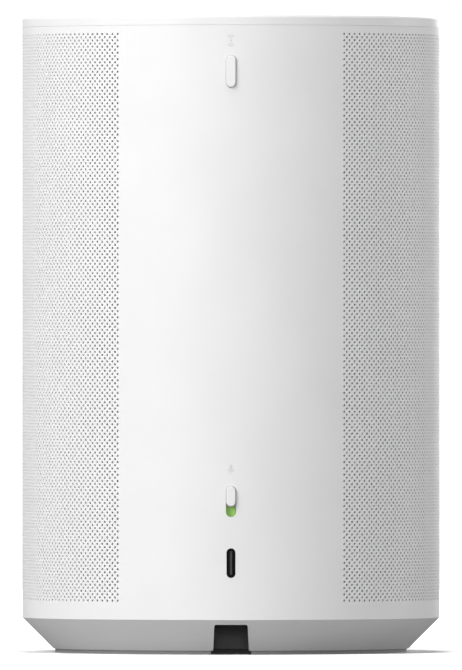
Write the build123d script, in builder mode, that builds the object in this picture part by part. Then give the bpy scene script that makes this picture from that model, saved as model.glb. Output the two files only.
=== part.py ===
from build123d import *
from math import asin, cos, radians, sin, sqrt
import os

# Smart speaker, in millimetres. +Z is up, the front faces -Y and the smooth rear panel +Y.
# The origin is at the centre of the foot, on the surface that the speaker stands on.

# ------------------------------------------------------------------ overall sizes
body_width = 120.0  # side to side
flank_length = 10.5  # straight stretch between the half-round front and back
body_height = 182.5  # foot to the rim of the top

# ------------------------------------------------------------------ shared fits
cut_overrun = 1.0  # how far a cut runs past the face it opens
screw_clearance = 0.1  # round a screw in the piece that it passes through
screw_play = 0.05  # between a screw and the thread that it bites in
screw_turn = 45.0  # degrees, first screw of each driver's circle

# ------------------------------------------------------------------ casing
sleeve_wall = 2.0
sleeve_edge_radius = 0.4
cap_band = 2.8  # height of the top cap that shows round the side
cap_seam = 0.05
cap_edge_radius = 0.7
cap_dish_depth = 1.2
cap_dish_radius = 51.0
cap_skirt_height = 1.9
cap_skirt_wall = 1.4
groove_length = 44.0  # volume groove in the top
groove_width = 9.0
groove_depth = 0.7
groove_taper = 20.0  # degrees
groove_setback = 20.0  # from the front of the body
mic_port_radius = 0.6
mic_ring_radius = 40.0
mic_turn = 50.0  # degrees from the side of the body
guide_clearance = 0.05
lip_clearance = 0.15
panel_half_width = 32.3  # smooth rear panel, straight across
scrim_gap = 0.3
scrim_thickness = 0.6

# ------------------------------------------------------------------ base
foot_thickness = 1.1
foot_inset = 0.5  # from the lower edge of the bevel
foot_pad_width = 16.0
base_height = 10.0  # where the bevel meets the sleeve
base_floor = 2.4
lip_height = 4.0
lip_wall = 1.6
recess_width = 24.0  # plug recess, open downwards
recess_length = 24.0
recess_setback = 15.0  # from the rear of the body to the recess
recess_height = 16.0
recess_wall = 1.8
notch_width_top = 9.5  # cord notch through the rear bevel
notch_width_bottom = 10.3
notch_height = 8.6
notch_corner_radius = 0.6
foot_notch_width = 11.5
foot_recess_margin = 1.0

# ------------------------------------------------------------------ bracket insert
insert_bore_radius = 2.55
insert_radius = 4.5
insert_length = 9.9
insert_wall = 3.0

# ------------------------------------------------------------------ mains inlet
inlet_width = 18.5
inlet_depth = 11.0
inlet_height = 14.0
inlet_flange = 2.0
inlet_flange_height = 2.0
inlet_cavity_width = 15.2
inlet_cavity_depth = 7.8
inlet_cavity_height = 12.0
pin_radius = 1.2
pin_spacing = 8.6
pin_length = 9.0
inlet_clearance = 0.1

# ------------------------------------------------------------------ rear controls
usb_z = 26.2
usb_opening_length = 8.5
usb_opening_width = 2.6
usb_shell_wall = 0.3
usb_tongue_length = 6.7
usb_tongue_thickness = 0.6
usb_tongue_setback = 0.7
usb_back_thickness = 1.4
usb_shell_clearance = 0.2
switch_z = 43.8
switch_slot_length = 8.9
switch_slot_width = 2.95
knob_length = 5.8
knob_width = 2.7
knob_proud = 1.0
knob_end_gap = 0.1
shutter_thickness = 0.5
shutter_width = 4.0
shutter_overlap = 1.0  # past the slot at each end of the travel
label_thickness = 0.15
label_margin = 0.3
label_end_gap = 0.1
lever_width = 1.2
lever_height = 1.6
lever_reach = 1.2  # into the slide switch
lever_clearance = 0.2
lever_window_gap = 0.5
slide_switch_width = 3.6
slide_switch_length = 8.6
slide_switch_height = 3.0
slide_slot_depth = 1.5
button_from_top = 16.1  # centre of the pairing button below the rim
button_length = 9.1
button_width = 2.8
button_proud = 0.8
button_gap = 0.1
button_flange = 0.7
button_flange_thickness = 1.0
button_stem_radius = 1.0
button_edge_radius = 0.35
button_pad_height = 1.6
button_pad_radius = 1.8
button_pad_taper = 12.0  # degrees
button_pad_clearance = 0.4
tact_switch_size = 4.5
tact_switch_height = 2.9
tact_switch_corner = 0.4
control_gap = 0.35  # behind the rear panel
board_thickness = 1.6
rear_board_depth = 10.25  # from the rear of the body to the board's outer face
rear_board_width = 18.0
rear_board_margin = 7.0  # beyond the lowest and highest control
carrier_thickness = 1.6
carrier_setback = 4.05
carrier_screw_radius = 0.9
carrier_screw_inset = 3.0
carrier_screw_head_height = 1.0
carrier_screw_bite = 4.0
standoff_radius = 2.0

# ------------------------------------------------------------------ woofer box
cabinet_low = 40.0
tweeter_bay = 40.0  # from the box up to the top frame
cabinet_inset = 6.0  # from the outer face of the body
cabinet_wall = 3.0
baffle_setback = 33.25  # from the front of the body
baffle_thickness = 3.4
gasket_thickness = 0.8
cabinet_rear_setback = 31.25  # from the rear of the body
leg_radius = 4.0
leg_side_inset = 21.0  # from the side of the body
leg_front_y = -16.0
leg_rear_setback = 8.0  # from the rear of the box
leg_board_gap = 0.5
leg_screw_depth = 10.0
boss_depth = 18.0
boss_inset = 6.0
boss_side_inset = 7.0
m3_radius = 1.5
m3_hole = 1.6
m3_head_radius = 2.8
m3_head_height = 1.4
m3_head_clearance = 0.2

# ------------------------------------------------------------------ woofer
# Depths run forward from the front of the baffle.
woofer_edge_margin = 2.0
woofer_flange_width = 7.4
woofer_flange_thickness = 2.2
woofer_gasket_thickness = 0.6
woofer_gasket_width = 5.5
woofer_hole_clearance = 0.9
surround_width = 5.6
surround_thickness = 0.6
surround_overlap = 0.8  # of the cone under the roll
surround_inner_lap = 0.9
surround_outer_lap = 1.8
surround_glue = 0.05
surround_rise = 2.2
coil_radius = 10.0
coil_gap = 0.4
former_thickness = 0.4
coil_former_tail = 3.0  # behind the top plate
coil_low = 2.0
coil_high = 1.0
spider_drop = 4.0  # behind the neck of the cone
spider_thickness = 0.6
cone_depth = 12.8
cone_thickness = 0.9
cone_rim_rise = 0.3
cone_bulge = 1.0
cone_neck_gap = 0.1
dust_cap_overlap = 1.2  # onto the cone
dust_cap_rise = 4.0
dust_cap_thickness = 0.6
basket_depth = 21.0
basket_wall = 1.6
basket_floor_thickness = 2.0
basket_rim = 4.0  # left round each window
basket_window_count = 6
basket_window_width = 9.0
magnet_radius = 24.0
magnet_thickness = 10.0
plate_thickness = 3.0
plate_inset = 2.0  # from the edge of the magnet
magnet_bore_gap = 2.0
yoke_inset = 0.5
woofer_screw_count = 4
woofer_screw_radius = 1.4
woofer_screw_length = 8.0
woofer_screw_head_radius = 2.5
woofer_screw_head_height = 1.6
woofer_screw_clearance = 0.2

# ------------------------------------------------------------------ tweeters
tweeter_angle = 40.0  # from straight ahead
tweeter_x = 26.0
tweeter_y = -22.0
tweeter_plate_width = 38.0
tweeter_plate_height = 37.4
tweeter_plate_thickness = 3.0
tweeter_hole_radius = 14.8
tweeter_flange_radius = 18.6
tweeter_flange_thickness = 2.2
tweeter_cup_radius = 14.5
tweeter_cup_depth = 9.0
tweeter_cup_wall = 1.3
tweeter_throat_radius = 11.0
tweeter_throat_front = 0.4
tweeter_throat_back = -1.0
tweeter_mouth_radius = 14.0
tweeter_magnet_radius = 12.8
tweeter_magnet_back = 12.0
tweeter_magnet_front = 3.4
tweeter_pole_front = 3.8
tweeter_gap_depth = 8.5
dome_radius = 10.0
dome_rim = -2.0
dome_rise = 3.4
dome_coil_length = 4.5
dome_thickness = 0.4
dome_coil_gap = 0.35
tweeter_screw_radius = 0.9
tweeter_screw_circle = 17.0
tweeter_screw_count = 4
tweeter_screw_head_radius = 1.35
tweeter_screw_head_height = 0.8
carrier_floor_thickness = 2.0
carrier_floor_inset = 8.0
carrier_floor_front = 4.0  # ahead of the baffle
carrier_floor_rear = 1.0  # short of the rear of the box
post_radius = 3.2
post_side_inset = 18.0  # from the side of the body
post_y = 6.0
rear_post_x = 30.0
rear_post_setback = 6.0  # from the rear of the box

# ------------------------------------------------------------------ top electronics
top_frame_drop = 7.7  # below the underside of the top cap
top_frame_thickness = 2.0
top_frame_width = 30.0
top_frame_screw_length = 6.0
top_frame_board_gap = 1.0
film_thickness = 0.3
film_inset = 8.0
mic_board_drop = 2.5
mic_board_thickness = 1.2
mic_board_inset = 12.0
mic_board_width = 15.0
mic_length = 3.5
mic_width = 2.65
mic_height = 1.0
mic_seal_radius = 1.9
mic_seal_clearance = 0.3
guide_radius = 0.8

# ------------------------------------------------------------------ power and main boards
power_board_z = 18.0
power_board_inset = 8.0
power_board_front = -36.0
power_board_rear = 18.0
board_post_radius = 3.0
board_screw_radius = 1.1
board_screw_head_radius = 2.2
board_screw_head_height = 1.2
board_screw_hole_depth = 8.0
board_screw_end_gap = 1.0
power_screw_bite = 6.0
power_post_side_inset = 30.0  # from the side of the body
power_post_front = -29.0
power_post_rear = 12.0
transformer_size = (26.0, 22.0, 16.0)
transformer_x = -12.0
transformer_corner = 2.0
capacitor_radius = 8.0
capacitor_height = 15.0
capacitor_x = 16.0
capacitor_spread = 10.0
capacitor_edge_radius = 1.0
main_board_width = 76.0
main_board_gap = 6.0
main_board_margin = 6.0
main_post_margin = 5.0
shield_size = (24.0, 18.0, 2.6)
shield_x = 18.0
shield_corner = 1.0
shield_margin = 4.0
sink_width = 50.0
sink_height = 40.0
sink_base = 1.6
sink_fin_length = 6.4
sink_fin_thickness = 1.2
sink_fin_count = 11
sink_margin = 3.0
lead_radius = 0.9
lead_rise = 5.5
lead_end_inset = 7.0  # from the rear of the power board
lead_bend_radius = 4.0
ribbon_width = 8.0
ribbon_thickness = 0.3
ribbon_rise = 12.0
ribbon_drop = 5.0
ribbon_offset = 1.0
ribbon_bend_radius = 2.0

# ------------------------------------------------------------------ values that follow
end_radius = body_width / 2
end_centre_y = flank_length / 2
rear_y = end_radius + end_centre_y
front_y = -rear_y
base_bevel = base_height - foot_thickness
cap_low = body_height - cap_band
sleeve_high = cap_low - cap_seam
button_z = body_height - button_from_top
floor_top = foot_thickness + base_floor
lip_inset = sleeve_wall + lip_clearance
hollow_inset = lip_inset + lip_wall
recess_rear = rear_y - recess_setback
recess_front = recess_rear - recess_length
recess_y = (recess_rear + recess_front) / 2
inner_rear_y = rear_y - sleeve_wall
control_y = inner_rear_y - control_gap
board_y = rear_y - rear_board_depth
carrier_y = rear_y - carrier_setback
top_frame_z = cap_low - top_frame_drop
cabinet_high = top_frame_z - tweeter_bay
cabinet_height = cabinet_high - cabinet_low
cabinet_z = (cabinet_high + cabinet_low) / 2
baffle_y = front_y + baffle_setback
gasket_y = baffle_y + baffle_thickness
tub_y = gasket_y + gasket_thickness
cabinet_rear_y = rear_y - cabinet_rear_setback
leg_x = end_radius - leg_side_inset
leg_rear_y = cabinet_rear_y - leg_rear_setback
leg_points = [(x, y) for x in (-leg_x, leg_x) for y in (leg_front_y, leg_rear_y)]
post_x = end_radius - post_side_inset
power_post_x = end_radius - power_post_side_inset
rear_post_y = cabinet_rear_y - rear_post_setback

# The woofer is as large as its baffle allows.
baffle_half_width = sqrt((end_radius - cabinet_inset) ** 2 - (baffle_y + end_centre_y) ** 2)
woofer_radius = min(baffle_half_width, cabinet_height / 2) - woofer_edge_margin
woofer_inner = woofer_radius - woofer_flange_width
woofer_hole = woofer_inner + woofer_hole_clearance
flange_front = woofer_gasket_thickness + woofer_flange_thickness
cone_radius = woofer_inner - surround_width + surround_overlap
woofer_screw_circle = woofer_radius - woofer_gasket_width / 2
pole_radius = coil_radius - former_thickness - coil_gap
plate_bore = coil_radius + former_thickness + coil_gap


# ------------------------------------------------------------------ shared shapes
def plan(inset, mode=Mode.ADD):
    """The body's plan outline, a given distance inside its outer face."""
    width = body_width - 2 * inset
    SlotOverall(width + flank_length, width, rotation=90, mode=mode)


def band(front, rear, mode=Mode.INTERSECT):
    """Everything between two Y values, to trim a plan outline."""
    with Locations((0, (front + rear) / 2)):
        Rectangle(body_width, rear - front, mode=mode)


def facing_rear(y):
    """A vertical plane that looks out of the rear, with its own Y upwards."""
    return Plane(origin=(0, y, 0), x_dir=(-1, 0, 0), z_dir=(0, 1, 0))


def facing_front(y):
    """A vertical plane that looks out of the front, with its own Y upwards."""
    return Plane(origin=(0, y, 0), x_dir=(1, 0, 0), z_dir=(0, -1, 0))


def capsule(length, width, centre, mode=Mode.ADD):
    """An upright capsule on a vertical plane."""
    with Locations(centre):
        SlotOverall(length, width, rotation=90, mode=mode)


def dome_arc(rim_radius, rim_height, rise):
    """An arc from a rim to the axis, part of a ball centred on that axis."""
    ball = (rim_radius**2 + rise**2) / (2 * rise)
    half_turn = asin(rim_radius / ball) / 2
    middle = (ball * sin(half_turn), rim_height + rise - ball * (1 - cos(half_turn)))
    return ThreePointArc((rim_radius, rim_height), middle, (0, rim_height + rise))


def turned(centre, direction):
    """A plane for a turned profile: its X is the radius and its Y runs forward."""
    up = Vector(0, 0, 1)
    return Plane(origin=centre, x_dir=up, z_dir=up.cross(Vector(*direction)))


def side_direction(side):
    """The way a tweeter points, with side -1 or 1."""
    angle = radians(tweeter_angle)
    return (side * sin(angle), -cos(angle), 0)


def finish(piece, label):
    """Label a finished piece and write it."""
    piece.part.label = label
    export_step(piece.part, f"parts/{label}.step")


os.makedirs("parts", exist_ok=True)

# ------------------------------------------------------------------ outer sleeve
with BuildPart() as outer_sleeve:
    with BuildSketch(Plane.XY.offset(base_height)):
        plan(0)
    extrude(amount=sleeve_high - base_height)
    fillet(outer_sleeve.edges().group_by(Axis.Z)[0], sleeve_edge_radius)
    with BuildSketch(Plane.XY.offset(base_height)):
        plan(sleeve_wall)
    extrude(amount=sleeve_high - base_height, mode=Mode.SUBTRACT)
    with BuildSketch(facing_rear(rear_y)):
        capsule(button_length + 2 * button_gap, button_width + 2 * button_gap, (0, button_z))
        capsule(switch_slot_length, switch_slot_width, (0, switch_z))
        capsule(usb_opening_length, usb_opening_width, (0, usb_z))
    extrude(amount=-2 * sleeve_wall, mode=Mode.SUBTRACT)
finish(outer_sleeve, "outer_sleeve")

with BuildPart() as acoustic_scrim:
    with BuildSketch(Plane.XY.offset(base_height + lip_height + scrim_gap)):
        plan(sleeve_wall + scrim_gap)
        plan(sleeve_wall + scrim_gap + scrim_thickness, mode=Mode.SUBTRACT)
        with Locations((0, rear_y)):
            Rectangle(2 * panel_half_width, 2 * end_radius, mode=Mode.SUBTRACT)
    extrude(amount=cap_low - cap_skirt_height - scrim_gap - base_height - lip_height - scrim_gap)
finish(acoustic_scrim, "acoustic_scrim")

# ------------------------------------------------------------------ top cap
dish_sphere_radius = (cap_dish_radius**2 + cap_dish_depth**2) / (2 * cap_dish_depth)
mic_x = mic_ring_radius * cos(radians(mic_turn))
mic_y = end_centre_y + mic_ring_radius * sin(radians(mic_turn))
mic_points = [(x, y) for y in (-mic_y, mic_y) for x in (-mic_x, mic_x)]
guide_point = (0, -end_centre_y - mic_ring_radius + mic_board_width / 4)
groove_y = front_y + groove_setback

with BuildPart() as top_cap:
    with BuildSketch(Plane.XY.offset(cap_low)):
        plan(0)
    extrude(amount=cap_band)
    fillet(top_cap.edges().group_by(Axis.Z)[-1], cap_edge_radius)
    with Locations((0, 0, body_height - cap_dish_depth + dish_sphere_radius)):
        Sphere(dish_sphere_radius, mode=Mode.SUBTRACT)
    with BuildSketch(Plane.XY.offset(body_height)):
        with Locations((0, groove_y)):
            SlotOverall(groove_length, groove_width)
    extrude(amount=-cap_dish_depth / 2 - groove_depth, taper=groove_taper, mode=Mode.SUBTRACT)
    with BuildSketch(Plane.XY.offset(cap_low - cap_skirt_height)):
        plan(lip_inset)
        plan(lip_inset + cap_skirt_wall, mode=Mode.SUBTRACT)
    extrude(amount=cap_skirt_height)
    with BuildSketch(Plane.XY.offset(cap_low)):
        with Locations(*mic_points):
            Circle(mic_port_radius)
        with Locations(guide_point):
            Circle(guide_radius + guide_clearance)
    extrude(amount=cap_band, mode=Mode.SUBTRACT)
finish(top_cap, "top_cap")

with BuildPart() as touch_sensor_film:
    with BuildSketch(Plane.XY.offset(cap_low - film_thickness)):
        plan(film_inset)
        with Locations(*mic_points):
            Circle(mic_seal_radius + mic_seal_clearance, mode=Mode.SUBTRACT)
        with Locations(guide_point):
            Circle(guide_radius + mic_seal_clearance, mode=Mode.SUBTRACT)
    extrude(amount=film_thickness)
finish(touch_sensor_film, "touch_sensor_film")

mic_board_z = cap_low - mic_board_drop
with BuildPart() as microphone_board:
    with BuildSketch(Plane.XY.offset(mic_board_z)):
        plan(mic_board_inset)
        plan(mic_board_inset + mic_board_width, mode=Mode.SUBTRACT)
        with Locations(*mic_points):
            Circle(mic_port_radius, mode=Mode.SUBTRACT)
    extrude(amount=mic_board_thickness)
finish(microphone_board, "microphone_board")

with BuildPart() as microphones:
    with BuildSketch(Plane.XY.offset(mic_board_z)):
        with Locations(*mic_points):
            Rectangle(mic_length, mic_width)
    extrude(amount=-mic_height)
finish(microphones, "microphones")

with BuildPart() as microphone_seals:
    with BuildSketch(Plane.XY.offset(mic_board_z + mic_board_thickness)):
        with Locations(*mic_points):
            Circle(mic_seal_radius)
            Circle(mic_port_radius, mode=Mode.SUBTRACT)
    extrude(amount=mic_board_drop - mic_board_thickness)
finish(microphone_seals, "microphone_seals")

guide_top = body_height - cap_dish_depth
with BuildPart() as status_light_guide:
    with BuildSketch(Plane.XY.offset(mic_board_z + mic_board_thickness)):
        with Locations(guide_point):
            Circle(guide_radius)
    extrude(amount=guide_top - mic_board_z - mic_board_thickness)
finish(status_light_guide, "status_light_guide")

top_post_points = [(x, post_y) for x in (-post_x, post_x)]
top_post_points += [(x, rear_post_y) for x in (-rear_post_x, rear_post_x)]
frame_stand_points = [(0, s * (end_centre_y + mic_ring_radius)) for s in (-1, 1)]
frame_stand_points += [(s * (end_radius - mic_board_inset - mic_board_width / 2), 0) for s in (-1, 1)]
board_pass_width = rear_board_width + 2 * top_frame_board_gap
board_pass_depth = rear_board_depth + board_thickness + 2 * top_frame_board_gap
with BuildPart() as top_frame:
    with BuildSketch(Plane.XY.offset(top_frame_z)):
        plan(hollow_inset)
        plan(hollow_inset + top_frame_width, mode=Mode.SUBTRACT)
    extrude(amount=top_frame_thickness)
    with BuildSketch(Plane.XY.offset(top_frame_z + top_frame_thickness)):
        plan(hollow_inset)
        plan(hollow_inset + lip_wall, mode=Mode.SUBTRACT)
        with Locations(*frame_stand_points):
            Circle(standoff_radius)
    extrude(amount=mic_board_z - top_frame_z - top_frame_thickness)
    with BuildSketch(Plane.XY.offset(top_frame_z)):
        with Locations(*top_post_points):
            Circle(board_screw_radius + screw_clearance)
    extrude(amount=top_frame_thickness, mode=Mode.SUBTRACT)
    with BuildSketch(Plane.XY.offset(top_frame_z)):
        with Locations((0, rear_y)):
            Rectangle(board_pass_width, 2 * board_pass_depth)
    extrude(amount=mic_board_z - top_frame_z, mode=Mode.SUBTRACT)
finish(top_frame, "top_frame")

with BuildPart() as top_frame_screws:
    with BuildSketch(Plane.XY.offset(top_frame_z + top_frame_thickness)):
        with Locations(*top_post_points):
            Circle(board_screw_head_radius)
    extrude(amount=board_screw_head_height)
    with BuildSketch(Plane.XY.offset(top_frame_z + top_frame_thickness)):
        with Locations(*top_post_points):
            Circle(board_screw_radius)
    extrude(amount=-top_frame_screw_length)
finish(top_frame_screws, "top_frame_screws")

# ------------------------------------------------------------------ base cover
hollow_bevel = base_bevel - base_floor
recess_block_height = recess_height + recess_wall
block_width = recess_width + 2 * recess_wall
block_length = recess_length + 2 * recess_wall
channel_block_width = notch_width_bottom + 2 * recess_wall
channel_front = recess_rear + recess_wall + inlet_clearance
channel_rear = rear_y + cut_overrun
power_post_points = [
    (x, y) for x in (-power_post_x, power_post_x) for y in (power_post_front, power_post_rear)
]

with BuildPart() as base_hollow:
    with BuildSketch(Plane.XY.offset(floor_top)):
        plan(hollow_inset)
    extrude(amount=base_height + lip_height - floor_top)
    chamfer(base_hollow.edges().group_by(Axis.Z)[0], length=hollow_bevel)
    with BuildSketch(Plane.XY.offset(floor_top)):
        with Locations((0, (channel_front + channel_rear) / 2)):
            Rectangle(channel_block_width, channel_rear - channel_front)
    extrude(amount=base_height - floor_top, mode=Mode.SUBTRACT)
    with BuildSketch(Plane.XY.offset(floor_top)):
        Circle(insert_radius + insert_wall)
        with Locations(*power_post_points):
            Circle(board_post_radius)
    extrude(amount=insert_length, mode=Mode.SUBTRACT)

with BuildPart() as cord_notch:
    with BuildSketch(facing_rear(channel_rear)) as notch:
        with BuildLine():
            Polyline(
                (-notch_width_bottom / 2, 0),
                (notch_width_bottom / 2, 0),
                (notch_width_top / 2, notch_height),
                (-notch_width_top / 2, notch_height),
                close=True,
            )
        make_face()
        fillet(notch.vertices().group_by(Axis.Y)[-1], notch_corner_radius)
    extrude(amount=-(channel_rear - recess_y))

with BuildPart() as base_cover:
    with BuildSketch(Plane.XY.offset(foot_thickness)):
        plan(0)
    extrude(amount=base_bevel + lip_height)
    chamfer(base_cover.edges().group_by(Axis.Z)[0], length=base_bevel)
    with BuildSketch(Plane.XY.offset(base_height)):
        plan(0)
        plan(lip_inset, mode=Mode.SUBTRACT)
    extrude(amount=lip_height, mode=Mode.SUBTRACT)
    add(base_hollow.part, mode=Mode.SUBTRACT)
    with BuildSketch(Plane.XY.offset(floor_top)):
        with Locations(*power_post_points):
            Circle(board_post_radius)
    extrude(amount=power_board_z - floor_top)
    with BuildSketch(Plane.XY.offset(foot_thickness)):
        with Locations((0, recess_y)):
            Rectangle(block_width + 2 * inlet_clearance, block_length + 2 * inlet_clearance)
    extrude(amount=base_floor, mode=Mode.SUBTRACT)
    add(cord_notch.part, mode=Mode.SUBTRACT)
    with BuildSketch(Plane.XY.offset(foot_thickness)):
        Circle(insert_radius)
    extrude(amount=insert_length, mode=Mode.SUBTRACT)
    with BuildSketch(Plane.XY.offset(foot_thickness)):
        with Locations(*leg_points):
            Circle(m3_head_radius + m3_head_clearance)
    extrude(amount=m3_head_height, mode=Mode.SUBTRACT)
    with BuildSketch(Plane.XY.offset(foot_thickness)):
        with Locations(*leg_points):
            Circle(m3_hole)
    extrude(amount=base_floor, mode=Mode.SUBTRACT)
    with BuildSketch(Plane.XY.offset(power_board_z)):
        with Locations(*power_post_points):
            Circle(board_screw_radius + screw_clearance)
    extrude(amount=-board_screw_hole_depth, mode=Mode.SUBTRACT)
finish(base_cover, "base_cover")

foot_outer = base_bevel + foot_inset
foot_recess_width = recess_width + 2 * foot_recess_margin
foot_recess_length = recess_length + 2 * foot_recess_margin
foot_notch_length = recess_setback + 2 * foot_recess_margin
with BuildPart() as foot_pad:
    with BuildSketch():
        plan(foot_outer)
        plan(foot_outer + foot_pad_width, mode=Mode.SUBTRACT)
        with Locations((0, recess_y)):
            Rectangle(foot_recess_width, foot_recess_length, mode=Mode.SUBTRACT)
        with Locations((0, recess_rear + recess_setback / 2)):
            Rectangle(foot_notch_width, foot_notch_length, mode=Mode.SUBTRACT)
    extrude(amount=foot_thickness)
finish(foot_pad, "foot_pad")

with BuildPart() as bracket_insert:
    with BuildSketch(Plane.XY.offset(foot_thickness)):
        Circle(insert_radius)
        Circle(insert_bore_radius, mode=Mode.SUBTRACT)
    extrude(amount=insert_length)
finish(bracket_insert, "bracket_insert")

with BuildPart() as base_screws:
    with BuildSketch(Plane.XY.offset(foot_thickness)):
        with Locations(*leg_points):
            Circle(m3_head_radius)
    extrude(amount=m3_head_height)
    with BuildSketch(Plane.XY.offset(foot_thickness + m3_head_height)):
        with Locations(*leg_points):
            Circle(m3_radius)
    extrude(amount=leg_screw_depth)
finish(base_screws, "base_screws")

# ------------------------------------------------------------------ mains inlet
inlet_top = recess_height + inlet_height
cavity_top = recess_height + inlet_cavity_height
pin_points = [(-pin_spacing / 2, recess_y), (pin_spacing / 2, recess_y)]
with BuildPart() as mains_inlet:
    with BuildSketch(Plane.XY.offset(foot_thickness)):
        with Locations((0, recess_y)):
            Rectangle(block_width, block_length)
    extrude(amount=recess_block_height - foot_thickness)
    with BuildSketch(Plane.XY.offset(floor_top)):
        with Locations((0, recess_rear + recess_wall)):
            Rectangle(
                block_width + 2 * inlet_flange,
                block_length + inlet_flange,
                align=(Align.CENTER, Align.MAX),
            )
    extrude(amount=inlet_flange_height)
    with BuildSketch(Plane.XY.offset(foot_thickness)):
        with Locations((0, recess_y)):
            Rectangle(recess_width, recess_length)
    extrude(amount=recess_height - foot_thickness, mode=Mode.SUBTRACT)
    add(cord_notch.part, mode=Mode.SUBTRACT)
    with BuildSketch(Plane.XY.offset(recess_height)):
        with Locations((0, recess_y)):
            SlotOverall(inlet_width, inlet_depth)
    extrude(amount=inlet_height)
    with BuildSketch(Plane.XY.offset(recess_height)):
        with Locations((0, recess_y)):
            SlotOverall(inlet_cavity_width, inlet_cavity_depth)
    extrude(amount=inlet_cavity_height, mode=Mode.SUBTRACT)
    with BuildSketch(Plane.XY.offset(cavity_top)):
        with Locations(*pin_points):
            Circle(pin_radius)
    extrude(amount=inlet_height, mode=Mode.SUBTRACT)
finish(mains_inlet, "mains_inlet")

with BuildPart() as inlet_pins:
    with BuildSketch(Plane.XY.offset(cavity_top - pin_length)):
        with Locations(*pin_points):
            Circle(pin_radius)
    extrude(amount=pin_length + inlet_top - cavity_top)
    fillet(inlet_pins.edges().group_by(Axis.Z)[0], pin_radius / 3)
finish(inlet_pins, "inlet_pins")

# ------------------------------------------------------------------ USB-C port
shell_outer_length = usb_opening_length + 2 * usb_shell_wall
shell_outer_width = usb_opening_width + 2 * usb_shell_wall
usb_shell_length = control_y - board_y
with BuildPart() as usb_c_shell:
    with BuildSketch(facing_rear(board_y)):
        capsule(shell_outer_length, shell_outer_width, (0, usb_z))
    extrude(amount=usb_shell_length)
    with BuildSketch(facing_rear(board_y + usb_back_thickness)):
        capsule(usb_opening_length, usb_opening_width, (0, usb_z))
    extrude(amount=usb_shell_length, mode=Mode.SUBTRACT)
finish(usb_c_shell, "usb_c_shell")

with BuildPart() as usb_c_tongue:
    with BuildSketch(facing_rear(board_y + usb_back_thickness)):
        with Locations((0, usb_z)):
            RectangleRounded(usb_tongue_thickness, usb_tongue_length, usb_tongue_thickness / 3)
    extrude(amount=usb_shell_length - usb_back_thickness - usb_tongue_setback)
finish(usb_c_tongue, "usb_c_tongue")

# ------------------------------------------------------------------ microphone switch
slot_top = switch_z + switch_slot_length / 2
knob_travel = switch_slot_length - knob_length - 2 * knob_end_gap
knob_z = slot_top - knob_end_gap - knob_length / 2
shutter_length = knob_length + 2 * (knob_travel + shutter_overlap)
shutter_y = control_y - shutter_thickness
label_length = (shutter_length - knob_length) / 2
with BuildPart() as mic_switch_knob:
    with BuildSketch(facing_rear(shutter_y)):
        with Locations((0, knob_z)):
            RectangleRounded(shutter_width, shutter_length, shutter_width / 8)
    extrude(amount=shutter_thickness)
    with BuildSketch(facing_rear(control_y)):
        capsule(knob_length, knob_width, (0, knob_z))
    extrude(amount=rear_y + knob_proud - control_y)
    fillet(mic_switch_knob.edges().group_by(Axis.Y)[-1], button_edge_radius)
finish(mic_switch_knob, "mic_switch_knob")

for label, sign in (("mic_on_label", -1), ("mic_off_label", 1)):
    with BuildPart() as state_label:
        with BuildSketch(facing_rear(control_y)):
            with Locations((0, knob_z + sign * (knob_length + label_length) / 2)):
                Rectangle(shutter_width - 2 * label_margin, label_length - 2 * label_end_gap)
        extrude(amount=label_thickness)
    finish(state_label, label)

lever_end_y = board_y + slide_switch_height - lever_reach
with BuildPart() as mic_switch_lever:
    with BuildSketch(facing_rear(lever_end_y)):
        with Locations((0, knob_z)):
            Rectangle(lever_width, lever_height)
    extrude(amount=shutter_y - lever_end_y)
finish(mic_switch_lever, "mic_switch_lever")

with BuildPart() as mic_slide_switch:
    with BuildSketch(facing_rear(board_y)):
        with Locations((0, knob_z - knob_travel / 2)):
            Rectangle(slide_switch_width, slide_switch_length)
    extrude(amount=slide_switch_height)
    with BuildSketch(facing_rear(board_y + slide_switch_height - slide_slot_depth)):
        with Locations((0, knob_z - knob_travel / 2)):
            Rectangle(
                lever_width + 2 * lever_clearance,
                lever_height + knob_travel + 2 * lever_clearance,
            )
    extrude(amount=slide_switch_height, mode=Mode.SUBTRACT)
finish(mic_slide_switch, "mic_slide_switch")

# ------------------------------------------------------------------ pairing button
button_rear_y = control_y - button_flange_thickness
tact_front_y = board_y + tact_switch_height
pad_top_y = tact_front_y + button_pad_height
with BuildPart() as pair_button:
    with BuildSketch(facing_rear(button_rear_y)):
        capsule(button_length + 2 * button_flange, button_width + 2 * button_flange, (0, button_z))
    extrude(amount=button_flange_thickness)
    with BuildSketch(facing_rear(control_y)):
        capsule(button_length, button_width, (0, button_z))
    extrude(amount=rear_y + button_proud - control_y)
    fillet(pair_button.edges().group_by(Axis.Y)[-1], button_edge_radius)
    with BuildSketch(facing_rear(pad_top_y)):
        with Locations((0, button_z)):
            Circle(button_stem_radius)
    extrude(amount=button_rear_y - pad_top_y)
finish(pair_button, "pair_button")

with BuildPart() as pair_button_pad:
    with BuildSketch(facing_rear(tact_front_y)):
        with Locations((0, button_z)):
            Circle(button_pad_radius)
    extrude(amount=button_pad_height, taper=button_pad_taper)
finish(pair_button_pad, "pair_button_pad")

with BuildPart() as pair_switch:
    with BuildSketch(facing_rear(board_y)):
        with Locations((0, button_z)):
            RectangleRounded(tact_switch_size, tact_switch_size, tact_switch_corner)
    extrude(amount=tact_switch_height)
finish(pair_switch, "pair_switch")

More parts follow.
